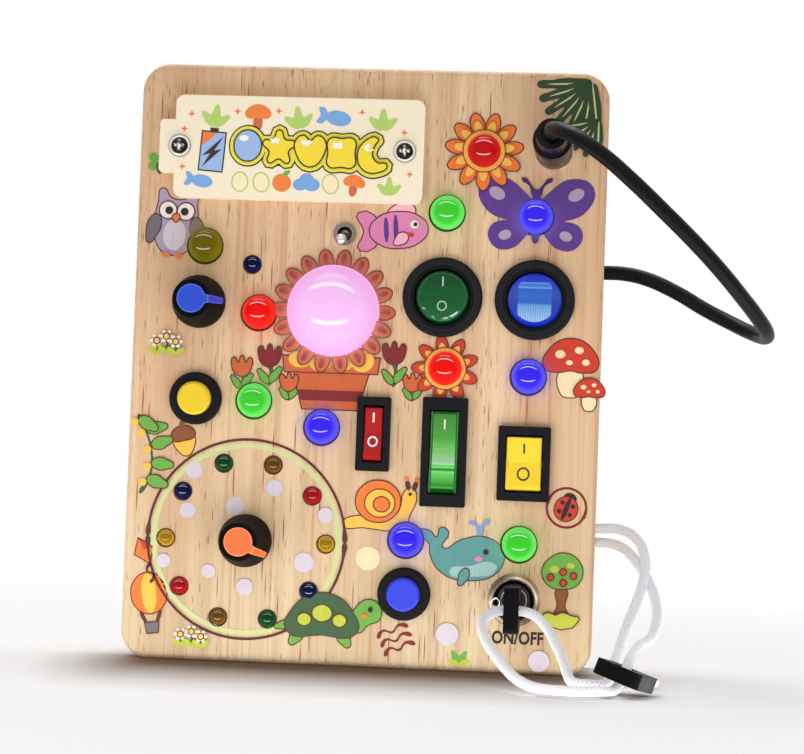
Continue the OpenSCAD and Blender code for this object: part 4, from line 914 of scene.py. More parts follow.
print("a leaf has", len(leaf(0, 0, 1, 1, 0)), "points")

# %% [markdown]
# We draw on a flat sheet in millimetres from the middle of the face, turn each curve into
# a mesh, join what belongs together and stand it up. The sheet lies on the ground, so
# turning it by a right angle about X lays it on the face: its height becomes the depth.

# %% Drawing flat shapes
LAYER = 0.00002
OUTLINE = 0.00034
COVER_THICK = 0.003
sheet_height = {"wood": -FACE_Y, "cover": -FACE_Y + COVER_THICK}


def flat_shape(points, ink, level, grow=0.0, corners=False):
    """A filled closed curve through four or more points, in metres, on the drawing sheet."""
    bpy.ops.curve.primitive_bezier_circle_add()
    drawing = bpy.context.object
    curve = drawing.data
    curve.dimensions = "2D"
    curve.fill_mode = "BOTH"
    curve.resolution_u = 1 if corners else 4
    curve.extrude = LAYER / 2
    curve.offset = grow
    knots = curve.splines[0].bezier_points
    knots.add(len(points) - len(knots))
    for knot, (x, y) in zip(knots, points):
        knot.handle_left_type = knot.handle_right_type = "VECTOR" if corners else "AUTO"
        knot.co = (x, y, level * LAYER)
    curve.materials.append(ink)
    bpy.ops.object.convert(target="MESH")
    drawing.location.z = level * LAYER
    return drawing


def joined(pieces, name):
    """Joins pieces into one mesh under a name."""
    bpy.ops.object.select_all(action="DESELECT")
    for piece in pieces:
        piece.select_set(True)
    bpy.context.view_layer.objects.active = pieces[0]
    if len(pieces) > 1:
        bpy.ops.object.join()
    piece = bpy.context.object
    piece.name = name
    return piece


def apply_place():
    """Moves the selected piece's place, turn and size into its mesh."""
    bpy.ops.object.transform_apply(location=True, rotation=True, scale=True)


def stand_up(piece, forward=0.0):
    """Turns a drawing on the ground upright, so that it looks at the viewer."""
    apply_place()
    piece.rotation_euler = (math.radians(90), 0, 0)
    piece.location = (0, forward, 0)
    apply_place()


def picture(name, parts, at, size=1.0, turn=0, flip=False, surface="wood"):
    """Prints a picture. A part is (kind, points, ink): 'o' outlined, 'f' filled, with
    'oc' and 'fc' for shapes with corners. Points are in millimetres from its middle. A
    fourth value grows the shape by so many millimetres."""
    made = []
    for kind, points, ink, *grown in parts:
        grow = grown[0] * MM if grown else 0.0
        placed = turned([(-size * x if flip else size * x, size * y) for x, y in points], *at, turn)
        placed = [(x * MM, y * MM + HALF_H) for x, y in placed]
        if flip:
            placed.reverse()
        if kind[0] == "o":
            rim_ink = inks[surface]["brown" if surface == "wood" else "black"]
            made.append(flat_shape(placed, rim_ink, len(made) + 1, grow + OUTLINE, "c" in kind))
        made.append(flat_shape(placed, inks[surface][ink], len(made) + 1, grow, "c" in kind))
    piece = joined(made, name)
    piece.location.z += sheet_height[surface]
    stand_up(piece)
    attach(piece, "board")
    return piece


print("drawing helpers ready")

# %% [markdown]
# ### The ring and the flowers
# A brown circle with a pale green band inside it goes round the small lamps, and pale dots
# lie about. A filled curve has only one outline, so a ring is two half rings.

# %% Ring and dots
def circle_line(radius, width, count=40):
    """A thin ring as two half strokes."""
    points = oval(0, 0, radius, radius, count=count)
    points.append(points[0])
    return [stroke(points[:count // 2 + 1], width), stroke(points[count // 2:], width)]


picture("printed_ring", [("f", half, "pale_green") for half in circle_line(26.9, 1.5)]
        + [("f", half, "brown") for half in circle_line(28.7, 0.75)], (-32.3, -51.1))
dots = [(-35.8, -41.7, 2.6), (-48.2, -31.8, 2.4), (-49.7, -43.4, 2.3), (-24.6, -36.1, 2.4),
        (-15.3, -57.2, 2.9), (-42.9, -60.8, 2.0), (-32.2, -64.9, 2.4), (-56.1, -58.2, 2.0),
        (-9.5, -43.4, 2.2), (26.8, -76, 3.2), (53.2, -82.6, 3.0)]
picture("printed_dots", [dot(x, y, size, "pale_lavender") for x, y, size in dots], (0, 0))
picture("pale_yellow_dot", [dot(0, 0, 3.4, "cream")], (3.2, -55.3))
print("ring and", len(dots), "dots printed")

# %% [markdown]
# The flowers have a lamp or the big dome as their heart. A ring of ovals makes a row of
# petals, and a second, smaller ring on top of it gives each petal a stripe.

# %% Flowers
def sunflower(outer, petals, reach, heart):
    """Two rows of petals round a yellow heart."""
    back = [("o", p, outer) for p in ring_of(petals, reach * 0.66, reach * 0.36, reach * 0.17)]
    front = [("f", p, "yellow") for p in ring_of(petals, reach * 0.56, reach * 0.24, reach * 0.11)]
    return back + front + [("o", oval(0, 0, heart, heart), "yellow")]


picture("orange_flower", sunflower("orange", 11, 11.0, 5.9), RED_LAMPS[0], turn=8)
picture("small_flower", sunflower("red", 9, 9.4, 5.8), RED_LAMPS[2], turn=20)
dome_petals = [("o", p, "terracotta") for p in ring_of(18, 14.6, 3.2, 1.9)]
dome_petals += [("f", p, "dark_red") for p in ring_of(18, 15.4, 1.5, 0.6)]
picture("dome_petals", dome_petals, DOME)
pot = [("o", [(-1, 0), (-0.8, 5), (0.8, 5), (1, 0)], "green"),
       ("oc", [(-11, -4), (11, -4), (8, -15), (-8, -15)], "terracotta"),
       ("fc", [(-9.4, -9.6), (9.4, -9.6), (8.6, -12.6), (-8.6, -12.6)], "dark_red"),
       ("oc", [(-14, 0), (14, 0), (13.4, -4.4), (-13.4, -4.4)], "terracotta"),
       ("f", oval(-9, -0.8, 3.4, 2.4), "yellow"), ("f", oval(-3.2, -1.2, 3.4, 3.0), "yellow"),
       ("f", oval(3.2, -1.2, 3.4, 2.6), "yellow"), ("f", oval(9, -0.8, 3.4, 3.2), "yellow")]
picture("flower_pot", pot, (-9.5, 2.2))


def tulip(colour, stem):
    return [line([(0, -stem), (0.6, -stem / 2), (0, 0)], 0.9, "leaf_green"),
            ("o", leaf(0.2, -stem * 0.85, 5.4, 2.0, 52), "green"),
            ("o", leaf(-0.2, -stem * 0.9, 4.8, 1.8, 128), "green"),
            ("o", [(-2.6, 4.2), (-3, 1.2), (-1.4, -1.2), (1.4, -1.2), (3, 1.2), (2.6, 4.2), (1.2, 2.6),
                   (0, 4.8), (-1.2, 2.6)], colour)]


for k, (place, colour, tall, size) in enumerate([
        ((-27.5, 0.5), "dark_red", 7, 1.0), ((-35.5, -2.6), "terracotta", 6, 0.9),
        ((8.6, 2.4), "dark_red", 8, 1.0), ((14.2, -5.6), "terracotta", 5, 0.8),
        ((-21.6, -6.6), "terracotta", 5, 0.8)]):
    picture(f"tulip_{k + 1}", tulip(colour, tall), place, size)
print("flowers printed")

# %% [markdown]
# ### Animals and plants
# Each picture is a few ovals, leaves and listed outlines. Large shapes come first and
# details on top, because each shape is printed over the one before.

# %% Butterfly and fish
def mirrored(parts):
    """The same parts on the left. Their points run backwards, as a mirror turns them round."""
    return [(kind, [(-x, y) for x, y in points[::-1]], ink) for kind, points, ink in parts]


wings = [("f", [(0.5, 0), (5, 8.5), (11, 11.4), (16.6, 9), (15.4, 2.6), (8, -1.2)], "purple"),
         ("f", [(0.5, 0), (7, -1), (13.4, -3.4), (12.6, -8.6), (7.6, -9.8), (3, -6)], "purple"),
         ("f", oval(11.6, 6.6, 2.5, 1.7, 30), "lavender"), ("f", oval(8.9, -5.6, 1.9, 1.4, -20), "lavender"),
         line([(0.6, 6), (2, 9.2), (4.4, 11.2)], 0.7, "deep_purple")]
butterfly = wings + mirrored(wings) + [("f", oval(0, 0, 1.7, 8), "deep_purple")]
picture("butterfly", butterfly, (48, 44.6), 0.98)

fish = [("o", [(-5, 0), (-11.4, 5.4), (-10, 0), (-11.4, -5.4)], "pink"),
        ("o", [(-3, 3.6), (0.4, 7.6), (4.6, 6.6), (4, 3.4)], "light_pink"),
        ("o", oval(0, 0, 8.4, 5.2), "pink"),
        ("f", oval(-3.6, 0.2, 0.7, 3.6), "purple"), ("f", oval(-0.8, 0.2, 0.7, 4.2), "purple"),
        ("o", leaf(2.4, -1.4, 4.6, 3.0, 215), "light_pink"),
        dot(4.6, 1.4, 1.2, "white"), dot(4.9, 1.4, 0.6, "black"),
        ("f", oval(3.4, -1.6, 1.0, 0.6), "red"),
        dot(11, 4, 1.1, "sky"), dot(12.4, 7, 0.7, "sky")]
picture("fish", fish, (8.6, 39.6), 1.0, 4)
print("butterfly and fish printed")

# %% [markdown]
# The owl has a wing on either side of a pale breast, and the snail's shell is three ovals,
# each smaller than the one below it.

# %% Owl and snail
owl = [("o", [(-6.4, 8), (-5.6, 12.4), (-2.4, 9.4), (2.4, 9.4), (5.6, 12.4), (6.4, 8), (7, 1),
              (4.6, -7.4), (0, -9.2), (-4.6, -7.4), (-7, 1)], "lavender"),
       ("o", leaf(-6.4, 3.6, 9.6, 4.2, 258), "grey"), ("o", leaf(6.4, 3.6, 9.6, 4.2, 282), "grey"),
       ("f", oval(0, -2.6, 3.8, 5.2), "pale_lavender"),
       ("o", oval(-3, 5.4, 2.7, 2.7), "white"), ("o", oval(3, 5.4, 2.7, 2.7), "white"),
       dot(-2.6, 5.3, 1.3, "black"), dot(2.6, 5.3, 1.3, "black"),
       ("o", [(-1, 3.8), (1, 3.8), (0.2, 1.8), (-0.2, 1.8)], "orange"),
       ("f", oval(-2.2, -9.4, 1.5, 0.8), "orange"), ("f", oval(2.2, -9.4, 1.5, 0.8), "orange")]
picture("owl", owl, (-56.6, 38.6), 0.88, -4)

snail = [("o", [(-8.6, -7), (-9.8, -3.6), (-12, 3.4), (-10.4, 5.8), (-8, 4.6), (-6.4, -1.4), (-2, -4),
                (6, -4), (12.6, -7.2), (6, -8)], "yellow"),
         line([(-11, 5), (-12, 8.4)], 0.6, "brown"),
         line([(-9.4, 5.2), (-8.6, 8.6)], 0.6, "brown"),
         dot(-12, 8.8, 0.8, "orange"), dot(-8.5, 9, 0.8, "orange"),
         ("o", oval(1, 1, 7.6, 7), "orange"), ("o", oval(0.4, 0.4, 5, 4.6), "yellow"),
         ("o", oval(-0.2, 0, 2.6, 2.4), "orange"), dot(-9.9, 3.8, 0.55, "black")]
picture("snail", snail, (6.4, -39.6), 0.84, flip=True)
print("owl and snail printed")

# %% [markdown]
# The whale and the turtle are listed outlines with a few leaves as fins and feet. The
# ladybird sits in a thin red ring, as a small badge.

# %% Whale, turtle and ladybird
whale = [("o", [(-9, 4), (-11.6, 7.6), (-8.6, 7.4), (-7, 5.6), (-5.4, 8.2), (-3.6, 6.8), (-5.6, 2.6),
                (0, 4.4), (7, 4.6), (11.4, 0.4), (9.6, -5), (2, -7), (-6, -4.4), (-9, 1)], "teal"),
         ("f", [(9.4, -4.2), (2, -6), (-4, -4.2), (2, -3), (8, -2.4)], "pale_teal"),
         dot(6.6, 0.6, 0.8, "black"), ("f", oval(4.4, -1.2, 1.2, 0.7), "pink"),
         ("o", leaf(1, -3.8, 5, 2.4, 240), "teal"),
         line([(5, 5.4), (4.6, 8), (2.8, 9.4)], 0.7, "sky"),
         line([(5.4, 5.4), (6.2, 8), (8.2, 9.2)], 0.7, "sky")]
picture("whale", whale, (30.4, -53.4), 1.02, 6)

turtle = [("o", leaf(-6, -2.6, 5.6, 3.4, 236), "green"), ("o", leaf(5.4, -2.6, 5.6, 3.4, 300), "green"),
          ("o", leaf(-9, -1, 5, 2.2, 196), "green"),
          ("o", [(8, -1), (10.2, 4.4), (13.6, 6.6), (17, 4.6), (16.8, 1), (13.6, -0.6), (11, -3)], "green"),
          ("o", [(-10.4, -3), (-8.6, 3.2), (-3.4, 7.4), (3.4, 7.4), (8.8, 3), (10.4, -3), (0, -4)],
           "leaf_green"),
          ("o", oval(0, 2.2, 2.8, 2.3, count=6), "lime"), ("o", oval(-5.2, 0.2, 1.9, 1.7, count=6), "lime"),
          ("o", oval(5.2, 0.2, 1.9, 1.7, count=6), "lime"), ("f", oval(14.2, 3.8, 0.7, 0.8), "black"),
          ("f", oval(12.4, 1.8, 1, 0.6), "orange")]
picture("turtle", turtle, (-9.4, -73.6), 0.98)

ladybird = [("f", half, "dark_red") for half in circle_line(5.6, 0.7, 24)]
ladybird += [("f", oval(0, 2.9, 1.9, 1.5), "black"), ("o", oval(0, -0.4, 3.2, 3.4), "red"),
             line([(0, 3), (0, -3.6)], 0.5, "black")]
ladybird += [dot(x, y, 0.65, "black") for x, y in ((-1.6, 1), (1.6, 1), (-1.6, -1.6), (1.6, -1.6))]
picture("ladybird", ladybird, (59.6, -38.6), turn=-20)
print("whale, turtle and ladybird printed")

# %% [markdown]
# Two fans of dark fern leaves fill the corner, each leaf with a thin pale rib. They stay
# on the face: a print doesn't reach over the board's edge.

# %% Fern leaves and toadstools
leaves = []
for x, y, long, wide, turns in ((0.4, 1.4, 16, 3.3, range(182, 280, 16)),
                                (2.6, -9.6, 11, 2.6, range(190, 275, 20))):
    for turn in turns:
        rib = turned([(0, 0), (0.8 * long, 0)], x, y, turn)
        leaves += [("f", leaf(x, y, long, wide, turn), "fern_green"), line(rib, 0.16, "pale_green")]
picture("corner_leaves", leaves, (62.5, 82))

toadstool = [("o", [(-2.2, 0), (-2.8, -9), (0, -10), (2.8, -9), (2.2, 0)], "cream"),
             ("o", [(-8.4, -0.6), (-6.6, 5.4), (0, 8.6), (6.6, 5.4), (8.4, -0.6), (4, -2), (0, -1.4),
                    (-4, -2)], "red")]
toadstool += [("f", oval(*spot), "cream") for spot in (
    (-3.4, 3.6, 1.6, 1.3), (2.6, 5, 1.4, 1.1), (4.8, 1.2, 1.2, 1.0), (-0.4, 1, 1.1, 0.8))]
toadstools = []
for x, y, size in ((0, 0, 1.0), (6.2, -8.6, 0.55)):
    toadstools += [(kind, [(x + size * u, y + size * v) for u, v in points], ink)
                   for kind, points, ink in toadstool]
picture("toadstools", toadstools, (59.4, 2), 0.9)
print("ferns and toadstools printed")

# %% [markdown]
# A tree on a little hill and a chain of leaves with yellow flowers come next. Both are
# large shapes first, and what lies on them last.

# %% Apple tree and flower chain
tree_parts = [("o", [(-1.6, -2), (-1.3, -9), (-2.6, -13), (2.6, -13), (1.3, -9), (1.6, -2)], "trunk"),
              ("o", [(-6.6, 1), (-7.6, 5), (-4, 10), (1, 11.6), (6, 9), (7.8, 4), (5.4, -0.6), (0, -2),
                     (-4, -1.4)], "green"),
              ("f", oval(-3, 5.4, 1.9, 1.3), "lime"), ("f", oval(3.2, 7, 1.6, 1.1), "lime")]
tree_parts += [("o", oval(x, y, 1.1, 1.1), "red") for x, y in ((-4.4, 2.2), (0.4, 4.4), (4.4, 3), (0.6, 0.2))]
tree_parts += [("o", [(-7, -13.6), (-5, -11.6), (-2, -12.4), (0.6, -11.4), (4, -12.4), (7, -13.6)], "lime")]
picture("apple_tree", tree_parts, (59, -60.2), 0.74)

bunting = [line([(-8, 12), (-5, 6), (-3.4, 0), (-3.6, -6), (-6.6, -12)], 0.7, "leaf_green")]
for x, y, turn in ((-5.4, 7.6, 10), (-3.4, 2.6, 20), (-3.2, -2.6, -5), (-4.4, -7.4, -18), (-7.6, 10.8, -30)):
    bunting += [("o", leaf(x, y, 6.6, 3.4, turn), "green"), dot(x - 1.4, y - 1.2, 1.2, "yellow")]
picture("flower_chain", bunting, (-57.6, -27.6), 0.95)
print("tree and flower chain printed")

# %% [markdown]
# Small things fill the gaps: an acorn, a kite, a balloon and three little waves.

# %% Small things
acorn = [("o", [(-2.9, 0.6), (-2.4, -3.2), (0, -5.2), (2.4, -3.2), (2.9, 0.6)], "yellow"),
         ("o", [(-3.5, 0.4), (-2.8, 2.8), (0, 3.8), (2.8, 2.8), (3.5, 0.4), (0, -0.4)], "trunk"),
         line([(0, 3.6), (0.8, 5.6)], 0.8, "trunk")]
picture("acorn", acorn, (-51.6, -22.8), 0.95, 14)
kite = [("oc", [(0, 4), (3.2, 0), (0, -4.6), (-3.2, 0)], "orange"),
        ("fc", [(0, 4), (3.2, 0), (0, 0), (0, 0.1)], "red"),
        line([(0, -4.6), (-2, -6.6), (-0.6, -8.6), (-2.6, -10.4)], 0.6, "brown")]
picture("kite", kite, (-62, -55.4), 0.9, 28)
balloon = [("o", oval(0, 3, 5.4, 6.2), "orange"), ("f", oval(0, 3, 2.2, 6), "yellow"),
           line([(-3.2, -2.4), (-1.6, -6)], 0.4, "brown"),
           line([(3.2, -2.4), (1.6, -6)], 0.4, "brown"),
           ("oc", [(-2, -6), (2, -6), (1.6, -9), (-1.6, -9)], "grey")]
picture("air_balloon", balloon, (-59.6, -70.6), 0.95, 8)
wave = [(-6, 2), (-3.6, 3.6), (-1, 2), (1.6, 3.4), (4.4, 2)]
waves = [line([(x, y - 3 * k) for x, y in wave], 0.8, "dark_red") for k in range(3)]
picture("little_waves", waves, (12.6, -77.4), 0.9, 24)
print("small things printed")

# %% [markdown]
# Daisies and other small plants stand near the edges. A daisy is a stalk with two leaves,
# six white petals round a yellow heart, and the same function draws all six of them.

# %% Daisies, sprout and clover
def daisies(flowers):
    parts = []
    for x, y, tall in flowers:
        parts += [line([(x, y - tall), (x + 0.3, y - tall / 2), (x, y)], 0.6, "leaf_green"),
                  ("f", leaf(x, y - tall, 3.4, 1.6, 40), "lime"),
                  ("f", leaf(x, y - tall, 3.4, 1.6, 140), "lime")]
        parts += [("f", turned(petal, x, y, 0), "white") for petal in ring_of(6, 1.25, 0.9, 0.55)]
        parts += [("o", oval(x, y, 0.8, 0.8), "yellow")]
    return parts


picture("daisies_left", daisies([(-3, 0, 4), (0, 1.4, 5), (3, -0.2, 4)]), (-57.8, 5.4), 0.95)
picture("daisies_low", daisies([(-3, 0, 3.6), (0.6, 1, 4.6), (3.8, -0.4, 3.4)]), (-47.6, -79.2), 0.9)
sprout = [("f", leaf(0, 0, long, wide, turn), ink) for long, wide, turn, ink in (
    (4.4, 2, 62, "green"), (4.4, 2, 118, "green"), (3.4, 1.5, 20, "lime"), (3.4, 1.5, 160, "lime"))]
picture("sprout", sprout, (30.4, -84.4))
picture("clover", [("f", p, "green") for p in ring_of(4, 1.7, 1.5, 1.3, 45)]
        + [line([(0, -0.4), (0.8, -3.6)], 0.5, "leaf_green")], (-62.6, 57.6), 1.0)
print("small plants printed")

# %% [markdown]
# ### The battery cover
# The cover is printed too: a sign for electricity, and five big shapes such as a child
# learns, with a row of small pictures above and below.

# %% Sign and big shapes on the cover
def bar(x, y, wide, high):
    return [(x - wide, y - high), (x + wide, y - high), (x + wide, y + high), (x - wide, y + high)]


sign = [("fc", bar(0, 0, 3.7, 5.9), "black"), ("fc", bar(0, 0, 3.3, 5.5), "cover_blue"),
        ("fc", [(-3.3, 5.5), (-3.3, 1.4), (-1.2, 3.2), (0.8, 5.5)], "orange"),
        ("fc", [(2.9, 4.6), (-2.8, -1.4), (-0.5, -0.6), (-2.6, -4.8), (2.6, 0.8), (0.5, 0.2)], "black"),
        ("fc", bar(0, 6.3, 1.2, 0.5), "black")]
picture("power_sign", sign, (-46.2, 60.6), 1.0, -4, surface="cover")


def star(points, outer, inner, turn=90):
    return [((outer if k % 2 == 0 else inner) * math.cos(math.radians(turn + 180 * k / points)),
             (outer if k % 2 == 0 else inner) * math.sin(math.radians(turn + 180 * k / points)))
            for k in range(2 * points)]


heart = [(0, -4.9), (-4.7, -0.2), (-4.5, 3.2), (-2.3, 4.4), (0, 2.8), (2.3, 4.4), (4.5, 3.2), (4.7, -0.2)]
moon = [(1.4, 5), (-3.2, 3.6), (-4.8, -0.6), (-2.6, -4.6), (2, -5), (4.6, -3), (1.4, -2.4),
        (-0.4, 0.2), (0.4, 3.2)]
block = [(-4, -4), (-4.2, 0), (-4, 4), (0, 4.2), (4, 4), (4.2, 0), (4, -4), (0, -4.2)]
STEP_RIGHT, STEP_DOWN = 9.3, 0.5
rims, halos, faces = [], [], []
for k, points in enumerate([oval(0, 0, 4.3, 4.6), star(5, 5.4, 3.1), heart, block, moon]):
    x, y = STEP_RIGHT * (k - 2), 0.9 - STEP_DOWN * k
    shape = [(x + 0.9 * u, y + 0.96 * v) for u, v in points]
    shine = [(x + 0.36 * 0.9 * u - 1.2, y + 0.2 * 0.96 * v + 2.2) for u, v in points]
    rims.append(("f", shape, "black", 1.75))
    halos.append(("f", shape, "halo", 1.35))
    faces += [("f", shape, "black", 0.42), ("f", shape, "cover_blue" if k == 0 else "halo_deep"),
              ("f", shine, "white")]
picture("cover_shapes", rims + halos + faces, (-17.6, 61.6), 0.98, surface="cover")
print("sign and", len(rims), "big shapes printed")

# %% [markdown]
# The small pictures are only a few shapes each, without outlines. Each is drawn once and
# printed wherever its name stands in the rows, a little turned to one side or the other.

# %% Small pictures on the cover
apple = [("f", oval(0, 0, 2.1, 2.0), "orange"), ("f", leaf(0, 1.8, 1.8, 1, 40), "green")]
little_fish = [("f", oval(0.4, 0, 2.4, 1.4), "sky"),
               ("f", [(-1.6, 0), (-3.4, 1.5), (-3, 0), (-3.4, -1.5)], "sky")]
sprig = [("f", leaf(0, -2, 4, 1.7, 90), "pale_leaf"), ("f", leaf(0, -2, 3.4, 1.5, 40), "pale_leaf"),
         ("f", leaf(0, -2, 3.4, 1.5, 140), "pale_leaf")]
cloud = [("f", oval(-1.4, -0.3, 1.6, 1.3), "sky"), ("f", oval(1.2, -0.3, 1.8, 1.4), "sky"),
         ("f", oval(0, 0.8, 1.6, 1.4), "sky")]
mushroom = [("f", oval(0, -1.2, 0.9, 1.5), "terracotta"),
            ("f", [(-2.4, 0), (-1.4, 1.8), (1.4, 1.8), (2.4, 0), (0, -0.4)], "orange")]
rings = [("f", oval(0, 0, 1.9, 2.3), "pale_leaf"), ("f", oval(0, 0, 1.6, 2.0), "cream")]
little_star = [("fc", star(4, 1.4, 0.5), "orange")]
upper_row = [(-45.5, sprig), (-33.2, mushroom), (-21.4, sprig), (-10.4, little_fish), (3.2, sprig)]
lower_row = [(-49.4, little_fish), (-37.8, rings), (-31.6, rings), (-25.6, apple), (-18.4, cloud),
             (-11.4, rings), (-4.6, mushroom), (5.6, sprig)]
for row_name, row, y, size in (("top", upper_row, 71.2, 1.55), ("low", lower_row, 52, 1.3)):
    for k, (x, parts) in enumerate(row):
        picture(f"cover_{row_name}_{k + 1}", parts, (x, y), size, (k % 3 - 1) * 9, surface="cover")
for k, (x, y) in enumerate([(-52.6, 71.4), (-39.2, 72.4), (-27.2, 72.8), (-3, 73), (9.4, 67.4), (11.4, 55.4),
                            (-54.6, 67), (-54.8, 56)]):
    picture(f"cover_star_{k + 1}", little_star, (x, y), 0.8, surface="cover")
print("cover printed:", len(upper_row) + len(lower_row), "small pictures")

# %% [markdown]
# ## Marks on the switches, and small things
# Rocker switches carry a bar for on and a ring for off. The rockers lie with their upper
# end pressed in, so the upper half of each is level with the face and the lower half
# stands out at the full swing of 16 degrees. We draw the marks flat, tilt them to fit and
# let them ride on their rocker.

# %% Rocker marks
def settle(piece, finish, body="board"):
    """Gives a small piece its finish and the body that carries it."""
    wear(piece, finish)
    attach(piece, body)


PIVOT_DEEP = 0.001       # the rockers' pivots lie this far behind the face
VALLEY_UP = 0.0024       # height of the valley between both halves over the pivot
SWING = math.radians(16)
MARK_OVER = 0.00003      # the marks lie this far over the plastic
BAR_HIGH = 2.8
BAR_THICK = 0.00004


def flat_bar(width):
    """A thin upright bar, so many millimetres wide."""
    bpy.ops.mesh.primitive_plane_add(size=1)
    piece = bpy.context.object
    piece.scale = (width * MM, BAR_HIGH * MM, 1)
    apply_place()
    bpy.ops.object.mode_set(mode="EDIT")
    bpy.ops.mesh.extrude_region_move(TRANSFORM_OT_translate={"value": (0, 0, BAR_THICK)})
    bpy.ops.mesh.select_all(action="SELECT")
    bpy.ops.mesh.normals_make_consistent(inside=False)
    bpy.ops.object.mode_set(mode="OBJECT")
    return piece


def flat_ring(radius, width):
    """A thin ring, a little higher than it is wide."""
    bpy.ops.mesh.primitive_torus_add(major_segments=32, minor_segments=8, major_radius=radius * MM,
                                     minor_radius=width / 2 * MM)
    piece = bpy.context.object
    piece.scale = (1, 1.1, 0.1)
    apply_place()
    return piece


def rocker_mark(piece, name, body, spot, down, finish):
    """Lays a mark on a rocker: down is how many millimetres below the valley it lies."""
    piece.name = name
    valley_y = VALLEY_UP * math.sin(SWING / 2)
    valley_z = VALLEY_UP * math.cos(SWING / 2) - PIVOT_DEEP
    tilt = -SWING if down > 0 else 0.0
    valley = Matrix.Translation((spot[0] * MM, spot[1] * MM + valley_y, valley_z))
    flat = valley @ Matrix.Rotation(tilt, 4, "X") @ Matrix.Translation((0, -down * MM, MARK_OVER))
    upright = Matrix.Translation((0, FACE_Y, HALF_H)) @ Matrix.Rotation(math.radians(90), 4, "X")
    piece.matrix_world = upright @ flat
    apply_place()
    settle(piece, finish, body)


mark_white, mark_dim, mark_black = [moulded(name, rgb, 0.4, strength=0.02, edge=0) for name, rgb in (
    ("mark_white", (236, 240, 236)), ("mark_dim", (186, 208, 192)), ("mark_black", (26, 22, 20)))]
for name, body, spot, up, down, width, radius, finish, slot in (
        ("red", "red_switch", RED_SWITCH, 4.4, 2.6, 0.48, 1.25, mark_white, "red_rocker_plastic"),
        ("green", "green_switch", LONG_GREEN, 7.6, None, 0.4, None, mark_white, "green_rocker_plastic"),
        ("yellow", "yellow_switch", YELLOW_SWITCH, 4.0, 3.4, 0.48, 1.6, mark_black, "yellow_plastic"),
        ("green_round", "green_round", ROUND_GREEN, 4.2, 3.0, 0.36, 1.25, mark_dim, "green_round_lens")):
    rocker_mark(flat_bar(width), name + "_on_mark", body, spot, -up, finish)
    if radius:
        rocker_mark(flat_ring(radius, width), name + "_off_mark", body, spot, down, finish)
print("rocker marks on")

# %% [markdown]
# ### Words at the key
# The lock has ON/OFF under it in round dark letters. Blender's own font is turned into
# a mesh, thickened a little, made a little narrower, and stood up on the face.

# %% ON/OFF
WORDS_OVER = 0.00004
WORDS_RIGHT, WORDS_DOWN = 0.0469, 0.0779     # from the middle of the face, in metres
bpy.ops.object.select_all(action="DESELECT")
bpy.ops.object.text_add()
words = bpy.context.object
words.name = "key_words"
words.data.body = "ON/OFF"
words.data.size = 5.0
words.data.align_x = "CENTER"
words.data.space_character = 1.02
words.data.offset = 0.17
words.data.resolution_u = 3
bpy.ops.object.convert(target="MESH")
words_place = Matrix.Translation((WORDS_RIGHT, FACE_Y - WORDS_OVER, HALF_H - WORDS_DOWN))
upright = Matrix.Rotation(math.radians(90), 4, "X")
words.matrix_world = words_place @ upright @ Matrix.Diagonal((0.8 * MM, MM, MM, 1))
apply_place()
settle(words, inks["wood"]["black"])
print("words:", len(words.data.polygons), "faces")

# %% [markdown]
# ### Hole rims and the wire eye
# Each lamp sits in a drilled hole, whose edge is a thin dark line round its foot: the burnt
# wood of the hole's edge and painted shade in the gap round the lamp. A very flat torus round
# each lamp gives that line.

# %% Hole rims
RIM_OVER = 0.00016
RIM_LEFT = 0.12          # the drilled holes lie this far left of the lamps
RIM_FLATNESS = 0.12
SMALL_RING_MIDDLE, SMALL_RING_RADIUS, SMALL_RING_COUNT = (-32.3, -51.5), 23.3, 10
# The rims are part burnt wood and part painted shade in the gap round each lamp.
hole_burn_and_shade = new_finish("hole_burn_and_shade", tone(58, 34, 26), 0.8)


def hole_rims(name, spots, inner, outer):
    """Thin flat rings in one mesh, one round each spot on the face."""
    made = []
    for x, y in spots:
        bpy.ops.mesh.primitive_torus_add(major_segments=40, minor_segments=6,
                                         major_radius=(inner + outer) / 2 * MM,
                                         minor_radius=(outer - inner) / 2 * MM)
        rim = bpy.context.object
        rim.scale = (1, 1, RIM_FLATNESS)
        rim.location = ((x - RIM_LEFT) * MM, y * MM - RIM_OVER + HALF_H, 0)
        made.append(rim)
    piece = joined(made, name)
    stand_up(piece, FACE_Y - RIM_OVER)
    settle(piece, hole_burn_and_shade)


small_ring = oval(*SMALL_RING_MIDDLE, SMALL_RING_RADIUS, SMALL_RING_RADIUS, count=SMALL_RING_COUNT)
hole_rims("large_hole_rims", RED_LAMPS + GREEN_LAMPS + BLUE_LAMPS + OLIVE_LAMPS, 4.95, 5.4)
hole_rims("small_hole_rims", [LONE_LAMP] + small_ring, 2.45, 2.8)
print("hole rims made")

# %% [markdown]
# Beside the lock a small wire eye is let into the face: a bent tube of thin steel wire,
# most of a turn round and then straight on, made as the cable was.

# %% The wire eye
eye_turns = [math.radians(200 - 20 * k) for k in range(17)]
eye_route = [(40.6 + 1.15 * math.cos(a), -22.6 - 0.5 * math.sin(a), 20.4 + 1.25 * math.sin(a))
             for a in eye_turns]
eye = tube("wire_eye", eye_route + [(42.4, -22, 18.4), (43.4, -20.6, 17.6)], 0.0006, 12)
settle(eye, chrome)
print("wire eye:", len(eye.data.polygons), "faces")

# %% [markdown]
# ## Stage, light and last steps
# The board stands on a white table, which fades into a white surround a little way off.
# Where the board nearly touches the table it throws a brown shade, tinted by the wood, and
# the shade is painted by place: it reaches far in front, and ends soon behind the board
# and beside it. Only the camera sees this paint, so it takes no light from the board.

